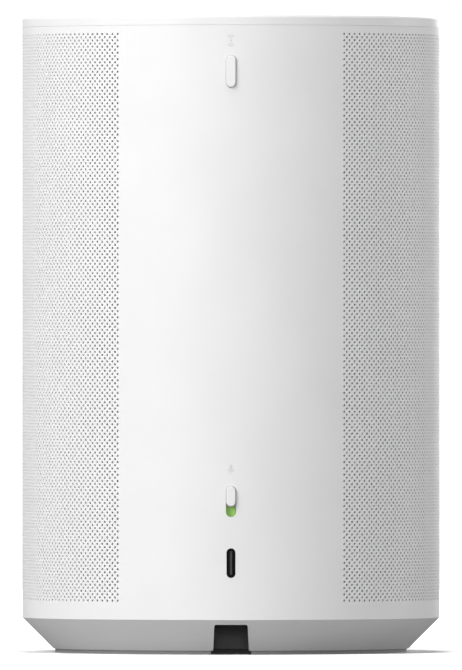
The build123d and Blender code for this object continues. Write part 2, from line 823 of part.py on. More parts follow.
# ------------------------------------------------------------------ rear board and carrier
board_low = usb_z - rear_board_margin
board_high = button_z + rear_board_margin
board_middle = (board_low + board_high) / 2
board_length = board_high - board_low
carrier_screw_points = [
    (x, z)
    for x in (carrier_screw_inset - rear_board_width / 2, rear_board_width / 2 - carrier_screw_inset)
    for z in (board_low + carrier_screw_inset, board_middle, board_high - carrier_screw_inset)
]
with BuildPart() as rear_control_board:
    with BuildSketch(facing_rear(board_y - board_thickness)):
        with Locations((0, board_middle)):
            Rectangle(rear_board_width, board_length)
        with Locations(*carrier_screw_points):
            Circle(carrier_screw_radius + screw_clearance, mode=Mode.SUBTRACT)
    extrude(amount=board_thickness)
finish(rear_control_board, "rear_control_board")

shell_pass_length = shell_outer_length + 2 * usb_shell_clearance
shell_pass_width = shell_outer_width + 2 * usb_shell_clearance
lever_pass_width = lever_width + 2 * lever_window_gap
lever_pass_height = lever_height + knob_travel + 2 * lever_window_gap
with BuildPart() as rear_control_carrier:
    with BuildSketch(facing_rear(carrier_y - carrier_thickness)):
        with Locations((0, board_middle)):
            Rectangle(rear_board_width, board_length)
        capsule(shell_pass_length, shell_pass_width, (0, usb_z), mode=Mode.SUBTRACT)
        with Locations((0, knob_z - knob_travel / 2)):
            Rectangle(lever_pass_width, lever_pass_height, mode=Mode.SUBTRACT)
        with Locations((0, button_z)):
            Circle(button_pad_radius + button_pad_clearance, mode=Mode.SUBTRACT)
    extrude(amount=carrier_thickness)
    with BuildSketch(facing_rear(board_y)):
        with Locations(*carrier_screw_points):
            Circle(standoff_radius)
    extrude(amount=carrier_y - carrier_thickness - board_y)
    with BuildSketch(facing_rear(board_y)):
        with Locations(*carrier_screw_points):
            Circle(carrier_screw_radius)
    extrude(amount=carrier_y - board_y, mode=Mode.SUBTRACT)
finish(rear_control_carrier, "rear_control_carrier")

with BuildPart() as carrier_screws:
    with BuildSketch(facing_front(board_y - board_thickness)):
        with Locations(*carrier_screw_points):
            Circle(2 * carrier_screw_radius)
    extrude(amount=carrier_screw_head_height)
    with BuildSketch(facing_rear(board_y - board_thickness)):
        with Locations(*carrier_screw_points):
            Circle(carrier_screw_radius)
    extrude(amount=board_thickness + carrier_screw_bite)
finish(carrier_screws, "carrier_screws")

# ------------------------------------------------------------------ woofer box
boss_x = baffle_half_width - boss_side_inset
boss_points = [
    (x, z) for x in (-boss_x, boss_x) for z in (cabinet_low + boss_inset, cabinet_high - boss_inset)
]
with BuildPart() as cabinet_front:
    with BuildSketch(Plane.XY.offset(cabinet_low)):
        plan(cabinet_inset)
        band(baffle_y, gasket_y)
    extrude(amount=cabinet_height)
    with BuildSketch(facing_front(gasket_y)):
        with Locations((0, cabinet_z)):
            Circle(woofer_hole)
            with PolarLocations(woofer_screw_circle, woofer_screw_count, start_angle=screw_turn):
                Circle(woofer_screw_radius)
        with Locations(*boss_points):
            Circle(m3_hole)
    extrude(amount=baffle_thickness, mode=Mode.SUBTRACT)
finish(cabinet_front, "cabinet_front")

with BuildPart() as cabinet_gasket:
    with BuildSketch(Plane.XY.offset(cabinet_low)):
        plan(cabinet_inset)
        band(gasket_y, tub_y)
    extrude(amount=cabinet_height)
    with BuildSketch(facing_front(tub_y)):
        with Locations((0, cabinet_z)):
            Circle(woofer_hole)
            with PolarLocations(woofer_screw_circle, woofer_screw_count, start_angle=screw_turn):
                Circle(m3_hole)
        with Locations(*boss_points):
            Circle(m3_hole)
    extrude(amount=gasket_thickness, mode=Mode.SUBTRACT)
finish(cabinet_gasket, "cabinet_gasket")

main_board_y = cabinet_rear_y + main_board_gap
main_board_low = cabinet_low + main_board_margin
main_board_high = cabinet_high - main_board_margin
main_board_z = (main_board_low + main_board_high) / 2
main_post_points = [
    (x, z)
    for x in (main_post_margin - main_board_width / 2, main_board_width / 2 - main_post_margin)
    for z in (main_board_low + main_post_margin, main_board_high - main_post_margin)
]
with BuildPart() as cabinet_rear:
    with BuildSketch(Plane.XY.offset(cabinet_low)):
        plan(cabinet_inset)
        band(tub_y, cabinet_rear_y)
    extrude(amount=cabinet_height)
    with BuildSketch(Plane.XY.offset(cabinet_low + cabinet_wall)):
        plan(cabinet_inset + cabinet_wall)
        band(tub_y - cut_overrun, cabinet_rear_y - cabinet_wall)
    extrude(amount=cabinet_height - 2 * cabinet_wall, mode=Mode.SUBTRACT)
    with BuildSketch(facing_rear(tub_y)):
        with Locations(*boss_points):
            Circle(leg_radius)
    extrude(amount=boss_depth)
    with BuildSketch(facing_rear(tub_y)):
        with Locations(*boss_points):
            Circle(m3_radius)
    extrude(amount=boss_depth - cabinet_wall, mode=Mode.SUBTRACT)
    with BuildSketch(Plane.XY.offset(floor_top)):
        with Locations(*leg_points):
            Circle(leg_radius)
    extrude(amount=cabinet_low - floor_top)
    with BuildSketch(Plane.XY.offset(floor_top)):
        with Locations(*leg_points):
            Circle(m3_radius)
    extrude(amount=leg_screw_depth, mode=Mode.SUBTRACT)
    with BuildSketch(facing_rear(cabinet_rear_y)):
        with Locations(*main_post_points):
            Circle(board_post_radius)
    extrude(amount=main_board_gap)
    with BuildSketch(facing_rear(main_board_y)):
        with Locations(*main_post_points):
            Circle(board_screw_radius)
    extrude(amount=-main_board_gap, mode=Mode.SUBTRACT)
finish(cabinet_rear, "cabinet_rear")

with BuildPart() as cabinet_screws:
    with BuildSketch(facing_front(baffle_y)):
        with Locations(*boss_points):
            Circle(m3_head_radius)
    extrude(amount=m3_head_height)
    with BuildSketch(facing_rear(baffle_y)):
        with Locations(*boss_points):
            Circle(m3_radius - screw_play)
    extrude(amount=baffle_thickness + gasket_thickness + leg_screw_depth)
finish(cabinet_screws, "cabinet_screws")

# ------------------------------------------------------------------ woofer
woofer_centre = (0, baffle_y, cabinet_z)
woofer_plane = turned(woofer_centre, (0, -1, 0))
woofer_axis = Axis(woofer_centre, (0, -1, 0))
spider_back = -cone_depth - spider_drop
basket_throat = magnet_radius - plate_inset
basket_floor = basket_floor_thickness - basket_depth


def woofer_ring(inner, outer, back, front):
    """A plain ring of the woofer, between two radii and two depths."""
    with BuildSketch(woofer_plane) as section:
        with Locations(((inner + outer) / 2, (back + front) / 2)):
            Rectangle(outer - inner, front - back)
    revolve(section.sketch, axis=woofer_axis)


with BuildPart() as woofer_gasket:
    woofer_ring(woofer_radius - woofer_gasket_width, woofer_radius, 0, woofer_gasket_thickness)
    with BuildSketch(facing_front(baffle_y)):
        with Locations((0, cabinet_z)):
            with PolarLocations(woofer_screw_circle, woofer_screw_count, start_angle=screw_turn):
                Circle(woofer_screw_radius + woofer_screw_clearance)
    extrude(amount=woofer_gasket_thickness, mode=Mode.SUBTRACT)
finish(woofer_gasket, "woofer_gasket")

with BuildPart() as woofer_basket:
    with BuildSketch(woofer_plane):
        with BuildLine():
            Polyline(
                (woofer_radius, woofer_gasket_thickness),
                (woofer_radius, flange_front),
                (woofer_inner, flange_front),
                (woofer_inner - basket_wall, woofer_gasket_thickness),
                (basket_throat - basket_wall, basket_floor),
                (plate_bore, basket_floor),
                (plate_bore, -basket_depth),
                (basket_throat, -basket_depth),
                (woofer_inner, -basket_wall),
                (woofer_inner, woofer_gasket_thickness),
                close=True,
            )
        make_face()
    revolve(axis=woofer_axis)
    with BuildSketch(facing_front(baffle_y + basket_depth - basket_rim)):
        with Locations((0, cabinet_z)):
            with PolarLocations((basket_throat + woofer_inner) / 2, basket_window_count):
                Rectangle(woofer_inner - basket_throat - basket_rim, basket_window_width)
    extrude(amount=basket_depth - 2 * basket_rim, mode=Mode.SUBTRACT)
    with BuildSketch(facing_front(baffle_y)):
        with Locations((0, cabinet_z)):
            with PolarLocations(woofer_screw_circle, woofer_screw_count, start_angle=screw_turn):
                Circle(woofer_screw_radius + woofer_screw_clearance)
    extrude(amount=flange_front, mode=Mode.SUBTRACT)
finish(woofer_basket, "woofer_basket")

with BuildPart() as woofer_top_plate:
    woofer_ring(plate_bore, basket_throat, -basket_depth - plate_thickness, -basket_depth)
finish(woofer_top_plate, "woofer_top_plate")

magnet_front = -basket_depth - plate_thickness
magnet_back = magnet_front - magnet_thickness
with BuildPart() as woofer_magnet:
    woofer_ring(plate_bore + magnet_bore_gap, magnet_radius, magnet_back, magnet_front)
finish(woofer_magnet, "woofer_magnet")

with BuildPart() as woofer_yoke:
    woofer_ring(0, magnet_radius - yoke_inset, magnet_back - plate_thickness, magnet_back)
    woofer_ring(0, pole_radius, magnet_back, -basket_depth)
    with BuildSketch(facing_front(baffle_y - magnet_back + plate_thickness)):
        with Locations((0, cabinet_z)):
            Circle(pole_radius / 3)
    extrude(amount=magnet_thickness + 2 * plate_thickness, mode=Mode.SUBTRACT)
finish(woofer_yoke, "woofer_yoke")

cone_inner = coil_radius + former_thickness + cone_neck_gap
cone_middle = (cone_radius + cone_inner) / 2 + cone_bulge
dust_cap_radius = cone_inner + dust_cap_overlap
dust_cap_rim = cone_thickness - cone_depth + 2 * dust_cap_overlap
with BuildPart() as woofer_cone:
    with BuildSketch(woofer_plane):
        with BuildLine():
            cone_front = ThreePointArc(
                (cone_radius, cone_thickness + cone_rim_rise),
                (cone_middle, -cone_depth / 2),
                (cone_inner, -cone_depth + cone_thickness),
            )
            Line(cone_front @ 1, (cone_inner, -cone_depth))
            ThreePointArc(
                (cone_inner, -cone_depth),
                (cone_middle, -cone_depth / 2 - cone_thickness),
                (cone_radius, cone_rim_rise),
            )
            Line((cone_radius, cone_rim_rise), cone_front @ 0)
        make_face()
    revolve(axis=woofer_axis)
finish(woofer_cone, "woofer_cone")

with BuildPart() as woofer_dust_cap:
    with BuildSketch(woofer_plane):
        with BuildLine():
            cap_front = dome_arc(dust_cap_radius, dust_cap_rim, dust_cap_rise)
            cap_back = dome_arc(
                dust_cap_radius - dust_cap_thickness,
                dust_cap_rim,
                dust_cap_rise - dust_cap_thickness,
            )
            Line(cap_front @ 1, cap_back @ 1)
            Line(cap_back @ 0, cap_front @ 0)
        make_face()
    revolve(axis=woofer_axis)
finish(woofer_dust_cap, "woofer_dust_cap")

with BuildPart() as woofer_voice_coil:
    woofer_ring(
        coil_radius - former_thickness,
        coil_radius,
        magnet_front - coil_former_tail,
        cone_thickness - cone_depth,
    )
    woofer_ring(
        coil_radius,
        coil_radius + former_thickness,
        magnet_front - coil_low,
        coil_high - basket_depth,
    )
finish(woofer_voice_coil, "woofer_voice_coil")

roll_start = (cone_radius - surround_inner_lap, cone_thickness + cone_rim_rise + surround_glue)
roll_end = (woofer_inner + surround_outer_lap, flange_front)
roll_top = ((roll_start[0] + roll_end[0]) / 2, flange_front + surround_rise)
with BuildPart() as woofer_surround:
    with BuildSketch(woofer_plane):
        with BuildLine():
            roll_inside = ThreePointArc(roll_start, roll_top, roll_end)
            Line(roll_inside @ 1, (roll_end[0], roll_end[1] + surround_thickness))
            ThreePointArc(
                (roll_end[0], roll_end[1] + surround_thickness),
                (roll_top[0], roll_top[1] + surround_thickness),
                (roll_start[0], roll_start[1] + surround_thickness),
            )
            Line((roll_start[0], roll_start[1] + surround_thickness), roll_inside @ 0)
        make_face()
    revolve(axis=woofer_axis)
finish(woofer_surround, "woofer_surround")

with BuildPart() as woofer_spider:
    woofer_ring(
        coil_radius + former_thickness,
        basket_throat - basket_wall,
        spider_back,
        spider_back + spider_thickness,
    )
finish(woofer_spider, "woofer_spider")

with BuildPart() as woofer_screws:
    with BuildSketch(facing_front(baffle_y - flange_front)):
        with Locations((0, cabinet_z)):
            with PolarLocations(woofer_screw_circle, woofer_screw_count, start_angle=screw_turn):
                Circle(woofer_screw_head_radius)
    extrude(amount=woofer_screw_head_height)
    with BuildSketch(facing_rear(baffle_y - flange_front)):
        with Locations((0, cabinet_z)):
            with PolarLocations(woofer_screw_circle, woofer_screw_count, start_angle=screw_turn):
                Circle(woofer_screw_radius - screw_play)
    extrude(amount=woofer_screw_length)
finish(woofer_screws, "woofer_screws")

# ------------------------------------------------------------------ tweeters
tweeter_z = cabinet_high + carrier_floor_thickness + tweeter_plate_height / 2
sides = {"left": -1, "right": 1}


def tweeter_origin(side, forward=0.0):
    """A point on a tweeter's axis, from the front of its mounting plate."""
    way = side_direction(side)
    return (side * tweeter_x + forward * way[0], tweeter_y + forward * way[1], tweeter_z)


def tweeter_face(side, forward=0.0):
    """A plane across a tweeter's axis, facing the way it points, with its own Y upwards."""
    way = Vector(*side_direction(side))
    return Plane(origin=tweeter_origin(side, forward), x_dir=Vector(0, 0, 1).cross(way), z_dir=way)


with BuildPart() as tweeter_carrier:
    with BuildSketch(Plane.XY.offset(cabinet_high)):
        plan(carrier_floor_inset)
        band(baffle_y - carrier_floor_front, cabinet_rear_y - carrier_floor_rear)
    extrude(amount=carrier_floor_thickness)
    with BuildSketch(Plane.XY.offset(cabinet_high)):
        with Locations(*top_post_points):
            Circle(post_radius)
    extrude(amount=top_frame_z - cabinet_high)
    with BuildSketch(Plane.XY.offset(top_frame_z)):
        with Locations(*top_post_points):
            Circle(board_screw_radius)
    extrude(amount=-board_screw_hole_depth, mode=Mode.SUBTRACT)
    for side in sides.values():
        with BuildSketch(tweeter_face(side, -tweeter_plate_thickness)):
            with Locations((0, -carrier_floor_thickness / 4)):
                Rectangle(tweeter_plate_width, tweeter_plate_height + carrier_floor_thickness / 2)
        extrude(amount=tweeter_plate_thickness)
        with BuildSketch(tweeter_face(side, -tweeter_plate_thickness)):
            Circle(tweeter_hole_radius)
            with PolarLocations(tweeter_screw_circle, tweeter_screw_count, start_angle=screw_turn):
                Circle(tweeter_screw_radius)
        extrude(amount=tweeter_plate_thickness, mode=Mode.SUBTRACT)
finish(tweeter_carrier, "tweeter_carrier")

for name, side in sides.items():
    tweeter_plane = turned(tweeter_origin(side), side_direction(side))
    tweeter_axis = Axis(tweeter_origin(side), side_direction(side))

    with BuildPart() as tweeter_frame:
        with BuildSketch(tweeter_plane):
            with BuildLine():
                Polyline(
                    (tweeter_flange_radius, 0),
                    (tweeter_flange_radius, tweeter_flange_thickness),
                    (tweeter_mouth_radius, tweeter_flange_thickness),
                    (tweeter_throat_radius, tweeter_throat_front),
                    (tweeter_throat_radius, tweeter_throat_back),
                    (tweeter_cup_radius - tweeter_cup_wall, tweeter_throat_back),
                    (tweeter_cup_radius - tweeter_cup_wall, -tweeter_cup_depth),
                    (tweeter_cup_radius, -tweeter_cup_depth),
                    (tweeter_cup_radius, 0),
                    close=True,
                )
            make_face()
        revolve(axis=tweeter_axis)
        with BuildSketch(tweeter_face(side)):
            with PolarLocations(tweeter_screw_circle, tweeter_screw_count, start_angle=screw_turn):
                Circle(tweeter_screw_radius + screw_clearance)
        extrude(amount=tweeter_flange_thickness, mode=Mode.SUBTRACT)
    finish(tweeter_frame, f"{name}_tweeter_frame")

    with BuildPart() as tweeter_dome:
        with BuildSketch(tweeter_plane):
            with BuildLine():
                dome_front = dome_arc(dome_radius, dome_rim, dome_rise)
                dome_back = dome_arc(dome_radius - dome_thickness, dome_rim, dome_rise - dome_thickness)
                Line(dome_front @ 1, dome_back @ 1)
                Polyline(
                    dome_back @ 0,
                    (dome_radius - dome_thickness, dome_rim - dome_coil_length),
                    (dome_radius, dome_rim - dome_coil_length),
                    dome_front @ 0,
                )
            make_face()
        revolve(axis=tweeter_axis)
    finish(tweeter_dome, f"{name}_tweeter_dome")

with BuildPart() as tweeter_magnets:
    for side in sides.values():
        with BuildSketch(turned(tweeter_origin(side), side_direction(side))):
            with BuildLine():
                Polyline(
                    (0, -tweeter_magnet_back),
                    (tweeter_magnet_radius, -tweeter_magnet_back),
                    (tweeter_magnet_radius, -tweeter_magnet_front),
                    (dome_radius + dome_coil_gap, -tweeter_magnet_front),
                    (dome_radius + dome_coil_gap, -tweeter_gap_depth),
                    (dome_radius - dome_thickness - dome_coil_gap, -tweeter_gap_depth),
                    (dome_radius - dome_thickness - dome_coil_gap, -tweeter_pole_front),
                    (0, -tweeter_pole_front),
                    close=True,
                )
            make_face()
        revolve(axis=Axis(tweeter_origin(side), side_direction(side)))
finish(tweeter_magnets, "tweeter_magnets")

with BuildPart() as tweeter_screws:
    for side in sides.values():
        with BuildSketch(tweeter_face(side, tweeter_flange_thickness)):
            with PolarLocations(tweeter_screw_circle, tweeter_screw_count, start_angle=screw_turn):
                Circle(tweeter_screw_head_radius)
        extrude(amount=tweeter_screw_head_height)
        with BuildSketch(tweeter_face(side, tweeter_flange_thickness)):
            with PolarLocations(tweeter_screw_circle, tweeter_screw_count, start_angle=screw_turn):
                Circle(tweeter_screw_radius - screw_play)
        extrude(amount=-tweeter_flange_thickness - tweeter_plate_thickness)
finish(tweeter_screws, "tweeter_screws")

# ------------------------------------------------------------------ power board
component_z = power_board_z + board_thickness
power_middle = (power_board_front + power_board_rear) / 2
with BuildPart() as power_board:
    with BuildSketch(Plane.XY.offset(power_board_z)):
        plan(power_board_inset)
        band(power_board_front, power_board_rear)
        with Locations(*leg_points):
            Circle(leg_radius + leg_board_gap, mode=Mode.SUBTRACT)
        with Locations(*power_post_points):
            Circle(board_screw_radius + screw_clearance, mode=Mode.SUBTRACT)
    extrude(amount=board_thickness)
finish(power_board, "power_board")

with BuildPart() as power_transformer:
    with BuildSketch(Plane.XY.offset(component_z)):
        with Locations((transformer_x, power_middle)):
            Rectangle(transformer_size[0], transformer_size[1])
    extrude(amount=transformer_size[2])
    fillet(power_transformer.edges().filter_by(Axis.Z), transformer_corner)
finish(power_transformer, "power_transformer")

capacitor_points = [(capacitor_x, power_middle + s * capacitor_spread) for s in (-1, 1)]
with BuildPart() as power_capacitors:
    with BuildSketch(Plane.XY.offset(component_z)):
        with Locations(*capacitor_points):
            Circle(capacitor_radius)
    extrude(amount=capacitor_height)
    fillet(power_capacitors.edges().group_by(Axis.Z)[-1], capacitor_edge_radius)
finish(power_capacitors, "power_capacitors")

with BuildPart() as inlet_leads:
    for x in (-pin_spacing / 2, pin_spacing / 2):
        with BuildLine() as lead_path:
            FilletPolyline(
                (x, recess_y, inlet_top),
                (x, recess_y, inlet_top + lead_rise),
                (x, power_board_rear - lead_end_inset, inlet_top + lead_rise),
                (x, power_board_rear - lead_end_inset, component_z),
                radius=lead_bend_radius,
            )
        with BuildSketch(Plane(origin=(x, recess_y, inlet_top), z_dir=(0, 0, 1))):
            Circle(lead_radius)
        sweep(path=lead_path.line)
finish(inlet_leads, "inlet_leads")

# ------------------------------------------------------------------ main board
main_front_y = main_board_y + board_thickness
with BuildPart() as main_board:
    with BuildSketch(facing_rear(main_board_y)):
        with Locations((0, main_board_z)):
            Rectangle(main_board_width, main_board_high - main_board_low)
        with Locations(*main_post_points):
            Circle(board_screw_radius + screw_clearance, mode=Mode.SUBTRACT)
    extrude(amount=board_thickness)
finish(main_board, "main_board")

shield_z = main_board_high - shield_size[1] / 2 - shield_margin
with BuildPart() as rf_shields:
    with BuildSketch(facing_rear(main_front_y)):
        with Locations((-shield_x, shield_z), (shield_x, shield_z)):
            RectangleRounded(shield_size[0], shield_size[1], shield_corner)
    extrude(amount=shield_size[2])
finish(rf_shields, "rf_shields")

sink_z = main_board_low + sink_height / 2 + sink_margin
fin_pitch = (sink_width - sink_fin_thickness) / (sink_fin_count - 1)
with BuildPart() as heat_sink:
    with BuildSketch(facing_rear(main_front_y)):
        with Locations((0, sink_z)):
            Rectangle(sink_width, sink_height)
    extrude(amount=sink_base)
    with BuildSketch(facing_rear(main_front_y + sink_base)):
        with Locations((0, sink_z)):
            with GridLocations(fin_pitch, 0, sink_fin_count, 1):
                Rectangle(sink_fin_thickness, sink_height)
    extrude(amount=sink_fin_length)
finish(heat_sink, "heat_sink")

with BuildPart() as board_screws:
    with BuildSketch(facing_rear(main_front_y)):
        with Locations(*main_post_points):
            Circle(board_screw_head_radius)
    extrude(amount=board_screw_head_height)
    with BuildSketch(facing_rear(main_front_y)):
        with Locations(*main_post_points):
            Circle(board_screw_radius - screw_play)
    extrude(amount=board_screw_end_gap - board_thickness - main_board_gap)
    with BuildSketch(Plane.XY.offset(component_z)):
        with Locations(*power_post_points):
            Circle(board_screw_head_radius)
    extrude(amount=board_screw_head_height)
    with BuildSketch(Plane.XY.offset(component_z)):
        with Locations(*power_post_points):
            Circle(board_screw_radius - screw_play)
    extrude(amount=-board_thickness - power_screw_bite)
finish(board_screws, "board_screws")

ribbon_inner_y = board_y - board_thickness
ribbon_middle_y = (main_front_y + shield_size[2] + ribbon_inner_y) / 2 + ribbon_offset
with BuildPart() as control_ribbon:
    with BuildLine() as ribbon_path:
        FilletPolyline(
            (0, ribbon_inner_y, main_board_high + ribbon_rise),
            (0, ribbon_middle_y, main_board_high + ribbon_rise),
            (0, ribbon_middle_y, main_board_high - ribbon_drop),
            (0, main_front_y, main_board_high - ribbon_drop),
            radius=ribbon_bend_radius,
        )
    with BuildSketch(Plane(origin=ribbon_path.line @ 0, x_dir=(1, 0, 0), z_dir=(0, -1, 0))):
        Rectangle(ribbon_width, ribbon_thickness)
    sweep(path=ribbon_path.line)
finish(control_ribbon, "control_ribbon")
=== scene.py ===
"""Smart speaker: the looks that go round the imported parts.

Everything is in metres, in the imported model's frame: +Z is up, the front faces -Y
and the smooth panel with the controls faces +Y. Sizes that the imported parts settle
are read from them, and the rest are fields of the class that uses them.
"""

import logging
import math
from abc import ABC, abstractmethod
from collections.abc import Callable, Iterator, Mapping
from contextlib import contextmanager
from dataclasses import dataclass
from enum import Enum

import bmesh
import bpy
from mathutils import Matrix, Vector


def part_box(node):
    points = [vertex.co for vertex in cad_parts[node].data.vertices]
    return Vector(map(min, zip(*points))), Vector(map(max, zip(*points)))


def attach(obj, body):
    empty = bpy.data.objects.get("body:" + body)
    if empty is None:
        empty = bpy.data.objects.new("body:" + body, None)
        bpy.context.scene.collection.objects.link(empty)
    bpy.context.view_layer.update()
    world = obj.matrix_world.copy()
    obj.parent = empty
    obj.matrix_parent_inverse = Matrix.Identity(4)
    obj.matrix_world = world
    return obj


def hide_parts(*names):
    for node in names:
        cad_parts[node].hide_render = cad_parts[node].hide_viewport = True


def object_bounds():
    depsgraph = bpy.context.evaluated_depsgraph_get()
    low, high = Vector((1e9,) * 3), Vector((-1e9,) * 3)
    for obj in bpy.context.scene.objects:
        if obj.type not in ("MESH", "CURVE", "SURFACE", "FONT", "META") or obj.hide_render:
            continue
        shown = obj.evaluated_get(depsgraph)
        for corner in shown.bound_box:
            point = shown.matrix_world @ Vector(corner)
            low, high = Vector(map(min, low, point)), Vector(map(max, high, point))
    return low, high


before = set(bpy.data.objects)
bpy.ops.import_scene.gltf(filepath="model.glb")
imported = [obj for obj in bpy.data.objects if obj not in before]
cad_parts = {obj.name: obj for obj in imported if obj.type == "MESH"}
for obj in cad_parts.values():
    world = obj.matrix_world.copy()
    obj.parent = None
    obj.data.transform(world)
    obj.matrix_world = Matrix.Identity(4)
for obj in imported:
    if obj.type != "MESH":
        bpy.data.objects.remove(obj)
CAD_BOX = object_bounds()
MIDDLE = (CAD_BOX[0] + CAD_BOX[1]) / 2

log = logging.getLogger("speaker")

MM = 0.001
BAKE_MAP = "OFBake"
MERGE_DISTANCE = 0.02 * MM
UPRIGHT = (-math.pi / 2, 0.0, 0.0)  # turns a flat primitive to stand up and face along Y
BACKWARDS = (0.0, 1.0, 0.0)

Colour = tuple[float, float, float]
Point = tuple[float, float, float]


# ---------------------------------------------------------------- the bench
def clear_selection() -> None:
    """Deselect every object."""
    bpy.ops.object.select_all(action="DESELECT")


def take(piece: bpy.types.Object) -> None:
    """Select one piece alone and make it the active one.

    Args:
        piece: The piece that the next operators work on.
    """
    clear_selection()
    piece.select_set(True)
    bpy.context.view_layer.objects.active = piece


@contextmanager
def editing(piece: bpy.types.Object) -> Iterator[bmesh.types.BMesh]:
    """Open a piece in edit mode, alone, for the length of a block.

    Args:
        piece: The mesh object to edit.

    Yields:
        The mesh as it stands in edit mode, to choose faces and edges in.
    """
    take(piece)
    bpy.ops.object.mode_set(mode="EDIT")
    try:
        yield bmesh.from_edit_mesh(piece.data)
    finally:
        bpy.ops.object.mode_set(mode="OBJECT")


def choose(
    mesh: bmesh.types.BMesh, kind: str, wanted: Callable[[bmesh.types.BMEdge | bmesh.types.BMFace], bool]
) -> None:
    """Select just the edges or the faces that pass a test.

    Args:
        mesh: The mesh in edit mode.
        kind: EDGE or FACE.
        wanted: Says whether an edge or a face is wanted.
    """
    bpy.ops.mesh.select_mode(type=kind)
    bpy.ops.mesh.select_all(action="DESELECT")
    for element in mesh.edges if kind == "EDGE" else mesh.faces:
        if wanted(element):
            element.select_set(True)
    if kind == "EDGE":
        mesh.select_flush(True)
    else:
        mesh.select_flush_mode()


def finish_modifier(piece: bpy.types.Object, kind: str, **settings: object) -> None:
    """Add a modifier to a piece and apply it.

    Args:
        piece: The mesh object.
        kind: The modifier's type.
        **settings: Values for the modifier's own fields.
    """
    take(piece)
    modifier = piece.modifiers.new(kind.title(), kind)
    for name, value in settings.items():
        setattr(modifier, name, value)
    bpy.ops.object.modifier_apply(modifier=modifier.name)


def place_in_mesh(piece: bpy.types.Object) -> None:
    """Move a piece's place, turn and scale into its mesh.

    Args:
        piece: The mesh object.
    """
    take(piece)
    bpy.ops.object.transform_apply(location=True, rotation=True, scale=True)


def join(pieces: list[bpy.types.Object], name: str) -> bpy.types.Object:
    """Join several pieces into one.

    Args:
        pieces: The mesh objects; the first one is kept.
        name: The joined piece's name.

    Returns:
        The joined piece.
    """
    take(pieces[0])
    for piece in pieces[1:]:
        piece.select_set(True)
    bpy.ops.object.join()
    pieces[0].name = name
    return pieces[0]


def soften(piece: bpy.types.Object, angle: float = 30.0) -> None:
    """Shade a piece smoothly, but for its sharp edges.

    Args:
        piece: The mesh object.
        angle: The angle in degrees from which an edge is sharp.
    """
    take(piece)
    bpy.ops.object.shade_smooth_by_angle(angle=math.radians(angle), keep_sharp_edges=True)


def reshape(piece: bpy.types.Object, move: Callable[[Vector], Point]) -> None:
    """Send each point of a mesh to a new place.

    Args:
        piece: The mesh object.
        move: Gives a point's new place.
    """
    for vertex in piece.data.vertices:
        vertex.co = move(vertex.co)
    piece.data.update()


def face_along(piece: bpy.types.Object, axis: Point) -> None:
    """Turn an open sheet over if its faces look away from an axis.

    Args:
        piece: The mesh object, flat.
        axis: The way its faces are to look.
    """
    if piece.data.polygons[0].normal.dot(Vector(axis)) < 0:
        with editing(piece):
            bpy.ops.mesh.select_all(action="SELECT")
            bpy.ops.mesh.flip_normals()


def copy_of(piece: bpy.types.Object, name: str) -> bpy.types.Object:
    """Copy a piece with a mesh of its own.

    Args:
        piece: The mesh object to copy.
        name: The copy's name.

    Returns:
        The copy.
    """
    take(piece)
    bpy.ops.object.duplicate(linked=False)
    made = bpy.context.active_object
    made.name = name
    return made


def upright_sheet(
    name: str, width: float, height: float, centre: Point, columns: int, rows: int = 1
) -> bpy.types.Object:
    """Model a flat sheet that stands up and faces backwards.

    Args:
        name: The sheet's name.
        width: Its size in X.
        height: Its size in Z.
        centre: Where its middle is.
        columns: Faces along it.
        rows: Faces up it.

    Returns:
        The sheet.
    """
    clear_selection()
    bpy.ops.mesh.primitive_grid_add(x_subdivisions=columns, y_subdivisions=rows, size=1.0, rotation=UPRIGHT)
    made = bpy.context.active_object
    made.name = name
    made.scale = (width, height, 1.0)
    made.location = centre
    place_in_mesh(made)
    face_along(made, BACKWARDS)
    return made


# ---------------------------------------------------------------- the plan of the body
@dataclass(frozen=True)
class Plan:
    """The body's outline from above: two half rounds with a straight flank between.

    Attributes:
        end_radius: Radius of the half rounds.
        end_centre: Distance of their centres from the middle of the body.
    """

    end_radius: float
    end_centre: float

    @classmethod
    def of_node(cls, node: str) -> "Plan":
        """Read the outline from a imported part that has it.

        Args:
            node: The part's name.

        Returns:
            The outline.
        """
        low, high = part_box(node)
        width, depth = high.x - low.x, high.y - low.y
        return cls(width / 2, (depth - width) / 2)

    @property
    def half_length(self) -> float:
        """Length of the outline from the middle of the back to the middle of the front."""
        return math.pi * self.end_radius + 2 * self.end_centre

    def point(self, along: float, inset: float = 0.0) -> tuple[float, float]:
        """A point on the outline.

        Args:
            along: Distance from the middle of the back, towards +X where it is positive.
            inset: Distance inside the outline.

        Returns:
            The point's X and Y.
        """
        side = 1.0 if along >= 0 else -1.0
        distance = abs(along)
        if distance > self.half_length:
            distance, side = 2 * self.half_length - distance, -side
        radius = self.end_radius - inset
        quarter = math.pi * self.end_radius / 2
        if distance <= quarter:
            turn = distance / self.end_radius
            return side * radius * math.sin(turn), self.end_centre + radius * math.cos(turn)
        if distance <= quarter + 2 * self.end_centre:
            return side * radius, self.end_centre - (distance - quarter)
        turn = (distance - quarter - 2 * self.end_centre) / self.end_radius
        return side * radius * math.cos(turn), -self.end_centre - radius * math.sin(turn)

    def wrap(self, flat: Vector) -> Point:
        """Bend a point of a flat sheet round the body.

        Args:
            flat: X is the distance along the outline, Y how far it stands proud, Z the height.

        Returns:
            The point on the body.
        """
        x, y = self.point(flat.x, -flat.y)
        return x, y, flat.z


